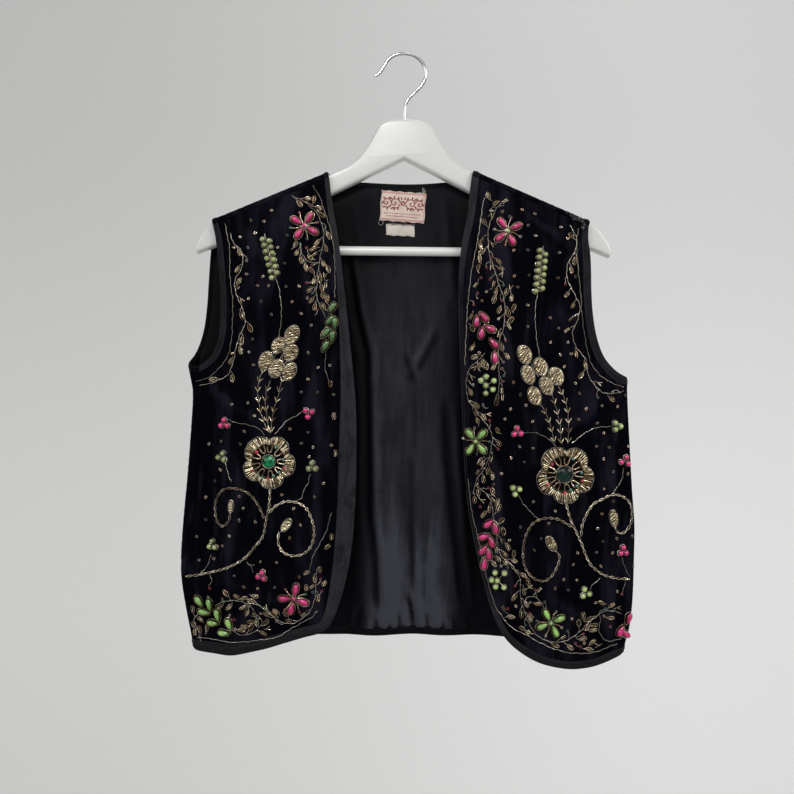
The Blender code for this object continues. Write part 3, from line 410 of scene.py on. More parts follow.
def paintLabel(name, ground, faded):
    paint = Paint(name, ground, 0.8, 0, {"Sheen Weight": 0.1, "Specular IOR Level": 0.3})
    spot = paint.cloth((2600,) * 3)
    weave = paint.wave(spot, 0.3, "X", 0.5) * 0.5 + paint.wave(spot, 0.3, "Y", 0.5) * 0.5
    stains = paint.noise(paint.places(), 70, 3, 0.6)
    edge = paint.attribute("edgeLine")
    aged = paint.blend(paint.remap(stains, 0.4, 0.75) * 0.8 + weave * 0.12, ground, faded)
    colour = paint.blend(edge, aged, labelFinish["line"])
    return paint.finish(colour=colour, roughness=0.72 + 0.15 * stains,
                        normal=paint.bump(weave * 0.5 + stains * 0.5, 0.35, 0.0003))


def paintThread(name, deep, light):
    paint = Paint(name, light, 0.7, 0, {"Sheen Weight": 0.2, "Specular IOR Level": 0.35})
    fuzz = paint.noise(paint.places(), 1400, 2, 0.6)
    colour = paint.blend(fuzz, deep, light)
    return paint.finish(colour=colour, roughness=0.6 + 0.2 * fuzz,
                        normal=paint.bump(fuzz, 0.4, 0.0002))


def paintStage(name, low, high, slopeWidth, glow, dim):
    # pale wall or floor with painted light: brighter to the right and downwards, where dim is its darkest
    # share, and glowing with its own colour
    paint = Paint(name, high, 0.9, 0, {"Specular IOR Level": 0.2, "Emission Strength": glow})
    spot = paint.node("TexCoord").out("Object")
    axes = paint.node("SeparateXYZ", {}, {"Vector": spot})
    plaster = paint.noise(spot, 55, 3, 0.6)
    across = paint.remap(axes.out("X"), -slopeWidth, slopeWidth)
    bright = paint.blend(across, low, high)
    shadedTones = paint.blend(across, [dim * part for part in low], [dim * part for part in high])
    colour = paint.blend(paint.remap(axes.out("Z"), 0.45, -1.05), shadedTones, bright)
    return paint.finish(colour=colour, glow=colour, roughness=0.85 + 0.08 * plaster,
                        normal=paint.bump(plaster, 0.3, 0.003))


finishes = {
    "velvet": paintVelvet(),
    "binding": paintBinding("charcoal_bias_tape", "front"),
    "armholeBinding": paintBinding("grey_bias_tape", "armhole"),
    "darkBinding": paintBinding("black_bias_tape", "back"),
    "shadeBinding": paintBinding("shaded_bias_tape", "shade"),
    "lining": paintLining(),
    "purl": paintGold("gold_purl", "purl", goldFinish["wraps"]),
    "leaf": paintGold("gold_leaf_purl", "leaf", 900),
    "cord": paintGold("gold_cord", "cord", 900),
    "rope": paintGold("gold_rope", "rope", 900),
    "seed": paintGold("gold_seed", "seed", 30),
    "pad": paintGold("gold_padding", "pad", 14),
    "pink": paintBead("pink_bead", (0.34, 0.004, 0.07), (0.93, 0.028, 0.25)),
    "red": paintBead("red_bead", (0.26, 0.006, 0.02), (0.62, 0.03, 0.07)),
    "leafGreen": paintBead("leaf_green_bead", (0.075, 0.2, 0.022), (0.52, 0.86, 0.22)),
    "apple": paintBead("apple_green_bead", (0.08, 0.145, 0.024), (0.62, 0.8, 0.27)),
    "bandGreen": paintBead("band_green_bead", (0.014, 0.058, 0.012), (0.105, 0.24, 0.062)),
    "olive": paintBead("olive_bead", (0.065, 0.088, 0.022), (0.47, 0.52, 0.19)),
    "teal": paintBead("teal_bead", (0.02, 0.12, 0.1), (0.1, 0.33, 0.27)),
    "emerald": paintJewel("emerald_jewel", (0, 0.016, 0.006), (0.002, 0.26, 0.095)),
    "seaGreen": paintJewel("sea_green_jewel", (0, 0.002, 0.0015), (0.001, 0.034, 0.022)),
    "lacquer": paintLacquer("white_lacquer", 1),
    # the bar's copy is painted brighter, painted light from above
    "litBarLacquer": paintLacquer("bar_lacquer", 1.15),
    "steel": paintSteel(),
    "label": paintLabel("label_cloth", labelFinish["ground"], labelFinish["faded"]),
    "sizeTag": paintLabel("size_tag_cloth", (0.8, 0.735, 0.645), (0.64, 0.57, 0.485)),
    "blackThread": paintThread("black_thread", (0.006, 0.006, 0.007), (0.03, 0.03, 0.034)),
    "redThread": paintThread("dark_red_thread", (0.2, 0.012, 0.02), (0.4, 0.03, 0.045)),
    "whiteThread": paintThread("white_thread", (0.42, 0.4, 0.37), (0.68, 0.66, 0.62)),
    "wall": paintStage("wall_paint", (0.63, 0.63, 0.615), (0.74, 0.745, 0.735), 0.9, 0.38, 0.79),
    "floor": paintStage("floor_paint", (0.62, 0.62, 0.61), (0.66, 0.66, 0.65), 2, 0, 1),
}
print("scene:", len(finishes), "materials")

# stage

stage = {"wallDistance": 1.45, "wallHalf": 4, "floorDrop": 1.55, "floorHalf": 5}


def makeStage():
    wide, far, low = stage["wallHalf"], stage["wallDistance"], -stage["floorDrop"]
    half, high = stage["floorHalf"], 2 * wide - stage["floorDrop"]
    planes = {
        "backdrop": ("wall", [(-wide, far, low), (wide, far, low), (wide, far, high),
                              (-wide, far, high)]),
        "floor": ("floor", [(-half, -half, low), (half, -half, low), (half, half, low),
                            (-half, half, low)]),
    }
    for name, (finish, corners) in planes.items():
        mesh = bpy.data.meshes.new(name)
        mesh.from_pydata(corners, [], [(0, 1, 2, 3)])
        mesh.materials.append(finishes[finish])
        thing = bpy.data.objects.new(name, mesh)
        bpy.context.scene.collection.objects.link(thing)


makeCamera()
makeLights()
makeStage()
bpy.context.scene.view_settings.view_transform = "Standard"
print("scene: camera, lights and stage")


# Geometry Nodes

class Grower:
    # builds one tree; every tree starts with a mesh and ends in a plain, painted mesh
    def __init__(self, name, inputs):
        self.tree = bpy.data.node_groups.new(name, "GeometryNodeTree")
        face = self.tree.interface
        face.new_socket("Mesh", in_out="INPUT", socket_type="NodeSocketGeometry")
        for label, (kind, value) in inputs.items():
            socket = face.new_socket(label, in_out="INPUT", socket_type="NodeSocket" + kind)
            if value is not None:
                socket.default_value = value
        face.new_socket("Finish", in_out="INPUT", socket_type="NodeSocketMaterial")
        face.new_socket("Mesh", in_out="OUTPUT", socket_type="NodeSocketGeometry")
        self.start = self.tree.nodes.new("NodeGroupInput")

    def given(self, label):
        return self.start.outputs[label]

    def node(self, kind, settings=None, sockets=None):
        if not kind.startswith(("Shader", "Function")):
            kind = "GeometryNode" + kind
        made = self.tree.nodes.new(kind)
        for key, value in (settings or {}).items():
            setattr(made, key, value)
        for key, value in (sockets or {}).items():
            if isinstance(value, bpy.types.Node):
                value = value.outputs[0]
            if isinstance(value, bpy.types.NodeSocket):
                self.tree.links.new(value, made.inputs[key])
            else:
                made.inputs[key].default_value = value
        return made

    def named(self, name, kind="FLOAT"):
        return self.node("InputNamedAttribute", {"data_type": kind},
                         {"Name": name}).outputs[0]

    def vector(self, operation, *values, scale=None):
        sockets = dict(enumerate(values))
        if scale is not None:
            sockets["Scale"] = scale
        return self.node("ShaderNodeVectorMath", {"operation": operation}, sockets).outputs[0]

    def number(self, operation, *values):
        sockets = dict(enumerate(values))
        return self.node("ShaderNodeMath", {"operation": operation}, sockets).outputs[0]

    def parts(self):
        # the three numbers of each point's place
        spot = self.node("InputPosition")
        return self.node("ShaderNodeSeparateXYZ", {}, {0: spot}).outputs

    def path(self):
        return self.node("MeshToCurve", {}, {"Mesh": self.given("Mesh")})

    def circle(self, sides, radius):
        return self.node("CurvePrimitiveCircle", {}, {"Resolution": sides, "Radius": radius})

    def tube(self, curve, ring, swell=1, caps=True):
        return self.node("CurveToMesh", {}, {"Curve": curve, "Profile Curve": ring,
                                             "Scale": swell, "Fill Caps": caps})

    def lying(self, form):
        # the form with its poles turned to the x axis
        return self.node("Transform", {}, {"Geometry": form, "Rotation": (0, math.pi / 2, 0)})

    def turned(self, first, second, primary="Z", secondary="X"):
        return self.node("FunctionNodeAxesToRotation",
                         {"primary_axis": primary, "secondary_axis": secondary},
                         {0: first, 1: second})

    def finish(self, geometry):
        plain = self.node("RealizeInstances", {}, {0: geometry})
        smooth = self.node("SetShadeSmooth", {}, {0: plain})
        painted = self.node("SetMaterial", {},
                            {"Geometry": smooth, "Material": self.given("Finish")})
        end = self.tree.nodes.new("NodeGroupOutput")
        self.tree.links.new(painted.outputs[0], end.inputs[0])
        return self.tree


def strandTree():
    # a thread along a path; "thick" on the path swells it
    grower = Grower("strand", {"Sides": ("Int", 6), "Radius": ("Float", 0.0005)})
    ring = grower.circle(grower.given("Sides"), grower.given("Radius"))
    return grower.finish(grower.tube(grower.path(), ring, grower.named("thick")))


def ropeTree():
    # two plies wound round each other along a path
    grower = Grower("rope", {"Ply Radius": ("Float", 0.0006), "Wind Radius": ("Float", 0.001),
                             "Turn Length": ("Float", 0.014), "Step": ("Float", 0.0008)})
    even = grower.node("ResampleCurve", {"mode": "LENGTH"},
                       {"Curve": grower.path(), "Length": grower.given("Step")})
    run = grower.node("SplineParameter").outputs["Length"]
    outward = grower.named("outward", "FLOAT_VECTOR")
    tangent = grower.node("InputTangent").outputs[0]
    aside = grower.vector("NORMALIZE", grower.vector("CROSS_PRODUCT", outward, tangent))
    turns = grower.number("DIVIDE", run, grower.given("Turn Length"))
    joined = grower.node("JoinGeometry")
    for ply in (0, 0.5):
        angle = grower.number("MULTIPLY", grower.number("ADD", turns, ply), 2 * math.pi)
        wide = grower.number("MULTIPLY", grower.number("SINE", angle),
                             grower.given("Wind Radius"))
        high = grower.number("MULTIPLY", grower.number("COSINE", angle),
                             grower.number("MULTIPLY", grower.given("Wind Radius"), 0.55))
        offset = grower.vector("ADD", grower.vector("SCALE", aside, scale=wide),
                               grower.vector("SCALE", outward, scale=high))
        moved = grower.node("SetPosition", {}, {"Geometry": even, "Offset": offset})
        tube = grower.tube(moved, grower.circle(6, grower.given("Ply Radius")))
        grower.tree.links.new(tube.outputs[0], joined.inputs[0])
    return grower.finish(joined)


def scatterTree(name, shape):
    # one small form on every point, turned by "along" and "outward", sized by "size"
    grower = Grower(name, {"Segments": ("Int", 8), "Rings": ("Int", 6)})
    # crown: each point's height on the form, which the bead finish uses for painted light and shade
    height = grower.parts()[2]
    form = grower.node("StoreNamedAttribute", {"data_type": "FLOAT", "domain": "POINT"},
                       {"Geometry": shape(grower), "Name": "crown", "Value": height})
    turn = grower.turned(grower.named("outward", "FLOAT_VECTOR"),
                         grower.named("along", "FLOAT_VECTOR"))
    spread = grower.node("InstanceOnPoints", {},
                         {"Points": grower.given("Mesh"), "Instance": form, "Rotation": turn,
                          "Scale": grower.named("size", "FLOAT_VECTOR")})
    return grower.finish(spread)


def ballForm(grower):
    # unit ball, its poles on the x axis, with its own UV map
    ball = grower.node("MeshUVSphere", {},
                       {"Segments": grower.given("Segments"), "Rings": grower.given("Rings"),
                        "Radius": 1})
    kept = grower.node("StoreNamedAttribute",
                       {"data_type": "FLOAT2", "domain": "CORNER"},
                       {"Geometry": ball, "Name": "UVMap", "Value": ball.outputs["UV Map"]})
    return grower.lying(kept)


def fattened(grower, ball, parts, factor):
    # the ball with its rings widened or narrowed by a factor along it
    drawn = grower.node("ShaderNodeCombineXYZ", {}, {
        0: parts[0], 1: grower.number("MULTIPLY", parts[1], factor),
        2: grower.number("MULTIPLY", parts[2], factor)})
    return grower.node("SetPosition", {}, {"Geometry": ball, "Position": drawn})


def capsuleForm(grower):
    # ball drawn out to a blunt-ended rod: its rings widen as its own girth shrinks
    ball, parts = ballForm(grower), grower.parts()
    girth = grower.number("SUBTRACT", 1, grower.number("MULTIPLY", parts[0], parts[0]))
    factor = grower.number("POWER", grower.number("MAXIMUM", girth, 0), -0.32)
    return fattened(grower, ball, parts, grower.number("MINIMUM", factor, 1.7))


def dropForm(grower):
    # bead like a drop: narrow towards its minus x end
    ball, parts = ballForm(grower), grower.parts()
    taper = grower.number("ADD", 0.8, grower.number("MULTIPLY", parts[0], 0.26))
    return fattened(grower, ball, parts, taper)


def ringForm(grower):
    # a ring of thread lying flat, of outer radius one
    return grower.tube(grower.circle(grower.given("Segments"), 0.76), grower.circle(5, 0.27),
                       caps=False)


trees = {
    "strand": strandTree(),
    "rope": ropeTree(),
    "rod": scatterTree("rod", capsuleForm),
    "drop": scatterTree("drop", dropForm),
    "ball": scatterTree("ball", ballForm),
    "ring": scatterTree("ring", ringForm),
}


def keep(thing):
    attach(thing, "root")
    return thing


def grow(name, mesh, tree, values, finish):
    # runs a tree on a mesh and keeps the result as a plain piece
    thing = bpy.data.objects.new(name, mesh)
    bpy.context.scene.collection.objects.link(thing)
    modifier = thing.modifiers.new("grow", "NODES")
    modifier.node_group = trees[tree]
    given = {**values, "Finish": finishes[finish]}
    for item in trees[tree].interface.items_tree:
        if item.in_out == "INPUT" and item.name in given:
            modifier[item.identifier] = given[item.name]
    bpy.context.view_layer.update()
    grown = thing.evaluated_get(bpy.context.evaluated_depsgraph_get())
    plain = bpy.data.meshes.new_from_object(grown)
    thing.modifiers.remove(modifier)
    thing.data = plain
    plain.name = name
    return keep(thing)


def addNumbers(mesh, name, numbers, kind="FLOAT"):
    # a number for each point, or three of them for a vector
    kept = mesh.attributes.new(name, kind, "POINT").data
    kept.foreach_set("value" if kind == "FLOAT" else "vector", numbers)


def pathMesh(name, paths):
    # paths: lists of (place, thick, outward); returns their edges as one mesh
    places, edges, thick, outward, tint = [], [], [], [], []
    chance = random.Random(5)
    for path in paths:
        first, tone = len(places), chance.uniform(0.25, 0.8)
        for place, swell, normal in path:
            places.append(place)
            thick.append(swell)
            outward.extend(normal)
            tint.append(tone + chance.uniform(-0.18, 0.18))
        edges += [(first + i, first + i + 1) for i in range(len(path) - 1)]
    mesh = bpy.data.meshes.new(name)
    mesh.from_pydata(places, edges, [])
    addNumbers(mesh, "thick", thick)
    addNumbers(mesh, "tint", tint)
    addNumbers(mesh, "outward", outward, "FLOAT_VECTOR")
    return mesh


def pointMesh(name, spots):
    # spots: (place, along, outward, size, tint); one point each
    mesh = bpy.data.meshes.new(name)
    mesh.from_pydata([spot[0] for spot in spots], [], [])
    for label, column in (("along", 1), ("outward", 2), ("size", 3)):
        numbers = [number for spot in spots for number in spot[column]]
        addNumbers(mesh, label, numbers, "FLOAT_VECTOR")
    addNumbers(mesh, "tint", [spot[4] for spot in spots])
    return mesh


frontFace, backFace = -1, 1
leftSide, rightSide = -1, 1

# cloth walls, measured inwards from the skin
backWall = 1.4
liningWall = 1
seamGap = 0.3
turnGap = 0.55
bindingProud = 0.4
bindingDepth = 2.1
linedBindingDepth = 3.1

# where the cloth turns over the hanger's arms and round the sides
armSlope = math.radians(23)
armTopX, armTopZ = 77, -125.3
clothAboveArm = 2.8
ridgeRadius = 6.5
ridgeFlat = 3.8
sideRadius = 7
middleY = 0.25
halfRidge = ridgeRadius + ridgeFlat
ridgeArc = math.pi * ridgeRadius + 2 * ridgeFlat
sideArc = math.pi * sideRadius
shoulderSeam = -0.5
ridgeReach = 36
armReach = 130
sideFade = 45
topFade = 70
swell = {frontFace: 3, backFace: 5}

seamBlend = 26
seamTrend = 9
liningShort = 3

SideRow = namedtuple("SideRow", "z edge seam")
EdgeRow = namedtuple("EdgeRow", "x z band roll", defaults=(0,))

# silhouette of each side as rows of (z, x), and how far past the start of the side turn
# the front reaches
sides = {
    leftSide: [
        (-300, 222, -5), (-330, 221.5, -5), (-352, 217.6, -5), (-390, 219, -5), (-440, 222.3, -5),
        (-480, 225.6, -5), (-520, 228, 4), (-545, 227.4, 10), (-575, 222.6, 14), (-600, 217.4, 14),
        (-630, 211, 14),
    ],
    rightSide: [
        (-300, 233, 15), (-333, 234, 15), (-360, 235, 15), (-400, 237.4, 15), (-450, 240.6, 15),
        (-485, 243.4, 15), (-525, 243.2, 15), (-560, 242.4, 15), (-590, 239.6, 15), (-610, 234.6, 15),
        (-635, 226, 15),
    ],
}

sides = {side: [SideRow(*row) for row in rows] for side, rows in sides.items()}

# soft folds of each sheet: top x, z and lowest x, z of its line, width and depth, where a
# positive depth stands out from the body
folds = {
    frontFace: [
        (-82, -190, -72, -640, 40, 5), (-174, -330, -178, -640, 15, 3.5),
        (-150, -360, -148, -600, 15, -2.5), (-204, -340, -206, -640, 14, -2),
        (-118, -480, -120, -650, 22, 2.5), (-112, -150, -118, -330, 24, 2), (95, -240, 118, -660, 34, 5),
        (160, -330, 158, -600, 18, -2), (204, -380, 208, -660, 20, 4), (120, -150, 128, -330, 24, 2),
    ],
    backFace: [
        (-62, -200, -54, -650, 16, 3.5), (-26, -190, -24, -650, 18, -4), (8, -250, 16, -650, 14, 2.5),
        (42, -230, 48, -650, 16, -3), (76, -200, 84, -650, 18, 3), (-120, -260, -124, -650, 22, -3),
        (-170, -300, -172, -650, 18, 3), (130, -260, 128, -650, 22, -3), (185, -300, 188, -650, 18, 3),
    ],
}

def soft(t):
    # smooth step from 0 to 1
    t = min(1, max(0, t))
    return t * t * (3 - 2 * t)


def mix(a, b, t):
    return a + (b - a) * t


def cubic(t, p, q, slopeP, slopeQ):
    # from p at 0 to q at 1, leaving and arriving at the given slopes
    return ((2 * t ** 3 - 3 * t ** 2 + 1) * p + (t ** 3 - 2 * t ** 2 + t) * slopeP
            + (3 * t ** 2 - 2 * t ** 3) * q + (t ** 3 - t ** 2) * slopeQ)


def alongRows(rows, z, column):
    # value of one column of a table whose rows go down in z, joined by cubics
    if z >= rows[0].z:
        return getattr(rows[0], column)
    if z <= rows[-1].z:
        return getattr(rows[-1], column)
    for i in range(len(rows) - 1):
        if rows[i].z >= z >= rows[i + 1].z:
            break
    before, after = rows[max(0, i - 1)], rows[min(len(rows) - 1, i + 2)]
    a, b = rows[i], rows[i + 1]
    p, q, r, s = (getattr(row, column) for row in (before, a, b, after))
    span = b.z - a.z
    return cubic((z - a.z) / span, q, r, span * (r - p) / (b.z - before.z),
                 span * (s - q) / (after.z - a.z))


def sideEdge(side, v):
    return alongRows(sides[side], v, "edge")


armSine, armCosine = math.sin(armSlope), math.cos(armSlope)
ridgeX, ridgeZ = armTopX + clothAboveArm * armSine, armTopZ + clothAboveArm * armCosine


def toShoulder(reach, v):
    # distance along the shoulder ridge, and height above it, square to the ridge
    dx, dz = reach - ridgeX, v - ridgeZ
    return dx * armCosine - dz * armSine, dx * armSine + dz * armCosine


def fromShoulder(a, h):
    return ridgeX + a * armCosine + h * armSine, ridgeZ - a * armSine + h * armCosine


def pastTurns(u, v):
    # how far (u, v) is past the start of the ridge turn, and of the side turn
    side = rightSide if u >= 0 else leftSide
    over = toShoulder(abs(u), v)[1] + ridgeRadius
    return over, abs(u) - sideEdge(side, v) + sideRadius


def depth(u, v, face):
    # depth of the skin in front of, or behind, the middle of the hanger
    over, beyond = pastTurns(u, v)
    below = ridgeRadius - over
    narrow = soft((below - ridgeReach) / (armReach - ridgeReach))
    half = mix(halfRidge, sideRadius, narrow)
    free = soft(-beyond / sideFade) * soft((below - ridgeReach + 6) / topFade)
    relief = 0
    for xTop, zTop, xLow, zLow, width, high in folds[face]:
        t = (zTop - v) / (zTop - zLow)
        middle = mix(xTop, xLow, t)
        relief += high * soft(t / 0.25) * math.exp(-((u - middle) / width) ** 2)
    return half + free * (swell[face] + relief)


def ridgeSkin(side, a, over, face):
    # skin where it goes over the shoulder ridge: a quarter turn, a flat, a quarter turn
    quarter = 0.5 * math.pi * ridgeRadius
    if over > ridgeArc:
        x, z = fromShoulder(a, -ridgeRadius - (over - ridgeArc))
        return skin(side * x, z, -face)
    if over <= quarter:
        h = ridgeRadius * (math.sin(over / ridgeRadius) - 1)
        inward = ridgeRadius * (1 - math.cos(over / ridgeRadius))
    elif over <= quarter + 2 * ridgeFlat:
        h = 0
        inward = ridgeRadius + over - quarter
    else:
        turn = (over - quarter - 2 * ridgeFlat) / ridgeRadius
        h = ridgeRadius * (math.cos(turn) - 1)
        inward = ridgeRadius * (1 + math.sin(turn)) + 2 * ridgeFlat
    x, z = fromShoulder(a, h)
    return Vector((side * x, middleY + face * (halfRidge - inward), z))


def sideSkin(side, v, beyond, face):
    # skin where it goes round a side: half a turn
    start = sideEdge(side, v) - sideRadius
    if beyond > sideArc:
        return skin(side * (start - (beyond - sideArc)), v, -face)
    turn = beyond / sideRadius
    return Vector((side * (start + sideRadius * math.sin(turn)),
                   middleY + face * sideRadius * math.cos(turn), v))


def skin(u, v, face):
    side = rightSide if u >= 0 else leftSide
    over, beyond = pastTurns(u, v)
    if over > 0:
        return ridgeSkin(side, toShoulder(abs(u), v)[0], over, face)
    if beyond > 0:
        return sideSkin(side, v, beyond, face)
    return Vector((u, middleY + face * depth(u, v, face), v))


def skinPoint(u, v, face, offset):
    # point that stands off the skin, outwards where offset is positive
    step = 0.4
    across = skin(u + step, v, face) - skin(u - step, v, face)
    upward = skin(u, v + step, face) - skin(u, v - step, face)
    outward = across.cross(upward).normalized() * -face
    return skin(u, v, face) + outward * offset


def shoulderSeamPlace(reach, side, face):
    # place on the shoulder seam whose distance along the ridge is that of x = reach
    a = toShoulder(reach, armTopZ - math.tan(armSlope) * (reach - armTopX))[0]
    past = shoulderSeam
    if face == backFace:
        past = ridgeArc - shoulderSeam - turnGap
    x, z = fromShoulder(a, past - ridgeRadius)
    return side * x, z


def sideSeamPlace(side, v, face):
    past = alongRows(sides[side], v, "seam")
    if face == backFace:
        past = sideArc - past - turnGap
    return side * (sideEdge(side, v) - sideRadius + past), v


# bound edges as rows of (x, z, width of the binding) and how far the edge rolls outwards:
# the fronts', from the shoulder seam down and round the corner along the hem
frontEdges = {
    leftSide: [
        (*shoulderSeamPlace(79, leftSide, frontFace), 5), (-75.4, -146, 5.2), (-72.4, -164, 5.8),
        (-67.6, -190, 6, 0.5), (-63.6, -220, 6.2, 1), (-60, -248, 7, 1.5), (-55.6, -286, 9.4, 2),
        (-51, -326, 12.4, 2.5), (-47.4, -366, 15.6, 3), (-46.3, -415, 18, 3.5), (-47, -466, 18, 3.5),
        (-50.6, -514, 17, 3), (-56, -545, 15, 2), (-63.2, -571, 12, 1), (-71, -589, 10, 0.5),
        (-81, -598, 10), (-98, -603, 10.5), (-121, -610, 11), (-146, -618.6, 11.5), (-171, -623, 11.5),
        (-193, -622, 11.5), (-207, -620, 11), (*sideSeamPlace(leftSide, -617, frontFace), 10),
    ],
    rightSide: [
        (*shoulderSeamPlace(71.5, rightSide, frontFace), 8), (67.6, -146, 8), (64.6, -172, 7.6),
        (60, -198, 6.2, -1), (57.4, -232, 5, -3), (57.8, -272, 3.6, -5), (59.4, -316, 2.8, -6),
        (61, -354, 2.6, -6), (63, -392, 2.6, -6), (65.4, -432, 2.8, -6), (69.2, -470, 3, -5.5),
        (75.4, -503, 3.4, -5), (83, -536, 3.8, -4), (90.6, -563, 4.6, -3), (98.4, -584.5, 6, -2),
        (109, -602.5, 7, -1), (126, -617, 8), (149, -629, 8.2), (173, -634, 8.2), (196, -632, 8.2),
        (213, -627.4, 8.2), (226, -621.6, 8), (*sideSeamPlace(rightSide, -616.6, frontFace), 8),
    ],
}
armholes = {
    (leftSide, frontFace): [
        (*shoulderSeamPlace(198, leftSide, frontFace), 5.5), (-193.6, -193, 6.4), (-191, -215, 6.6),
        (-188.4, -242, 6.4), (-187.5, -270, 6.2), (-189.2, -295, 6.4), (-194.4, -311, 6.6),
        (-201.5, -320, 6.4), (*sideSeamPlace(leftSide, -325.6, frontFace), 6.2),
    ],
    (rightSide, frontFace): [
        (*shoulderSeamPlace(192, rightSide, frontFace), 6), (190.2, -191, 7), (192.4, -206, 8),
        (193.4, -224, 8.3), (193.9, -245, 8.3), (195.6, -267, 8.3), (199.8, -290, 8.5),
        (207.4, -310.5, 8.6), (217.6, -323.2, 8.6), (228, -330.6, 8.4),
        (*sideSeamPlace(rightSide, -334.6, frontFace), 8),
    ],
    (leftSide, backFace): [
        (*shoulderSeamPlace(198, leftSide, backFace), 5.5), (-200, -170, 6), (-200.6, -188, 6.4),
        (-202.4, -208, 6.5), (-204, -234, 6.5), (-205.6, -264, 6.5), (-208.4, -288, 6.5),
        (-213.6, -306, 6.5), (-221, -318, 6.4), (-231, -324.4, 6.3),
        (*sideSeamPlace(leftSide, -325.6, backFace), 6.2),
    ],
    (rightSide, backFace): [
        (*shoulderSeamPlace(192, rightSide, backFace), 6), (194, -168, 6.3), (190.6, -186, 6.8),
        (189.4, -208, 7), (189.6, -236, 7), (191.4, -264, 7), (196, -289, 7), (204.4, -311, 7.2),
        (215.6, -325, 7.6), (226, -331.8, 8), (*sideSeamPlace(rightSide, -334.6, backFace), 8),
    ],
}
backNeck = [
    (*shoulderSeamPlace(79, leftSide, backFace), 5), (-81, -117.6, 5), (-75, -126.6, 5.6),
    (-63, -129.8, 6), (-44, -130.6, 6), (-22, -131.6, 6), (0, -132, 6), (20, -131.6, 6), (38, -130.2, 6),
    (56, -128.4, 6), (68, -124.4, 6.4), (74, -114.8, 7.4),
    (*shoulderSeamPlace(71.5, rightSide, backFace), 8),
]
backHem = [
    (*sideSeamPlace(leftSide, -617, backFace), 10), (-207, -613, 9.6), (-190, -609, 9.2),
    (-150, -606.4, 9), (-90, -606, 9), (-50, -606.6, 9), (0, -605.4, 9), (60, -605.4, 9),
    (110, -606.2, 9), (170, -609, 9), (205, -613, 8.6), (*sideSeamPlace(rightSide, -616.6, backFace), 8),
]

def polar(x, z, reach, degrees):
    turn = math.radians(degrees)
    return x + reach * math.cos(turn), z + reach * math.sin(turn)


def smoothRows(rows, spanSteps):
    # rows joined by cubics through every column, as a dense list
    rows = [EdgeRow(*row) for row in rows]
    dense = []
    for i in range(len(rows) - 1):
        before, after = rows[max(0, i - 1)], rows[min(len(rows) - 1, i + 2)]
        a, b = rows[i], rows[i + 1]
        span = math.dist(a[:2], b[:2])
        back, ahead = math.dist(before[:2], a[:2]), math.dist(b[:2], after[:2])
        for step in range(spanSteps):
            t = step / spanSteps
            values = []
            for p, q, r, s in zip(before, a, b, after):
                values.append(cubic(t, q, r, (r - p) / (span + back) * span,
                                    (s - q) / (span + ahead) * span))
            dense.append(EdgeRow(*values))
    dense.append(rows[-1])
    return dense


# cloth: creases on top of the skin's own folds

Crease = namedtuple("Crease", "line width height partner")

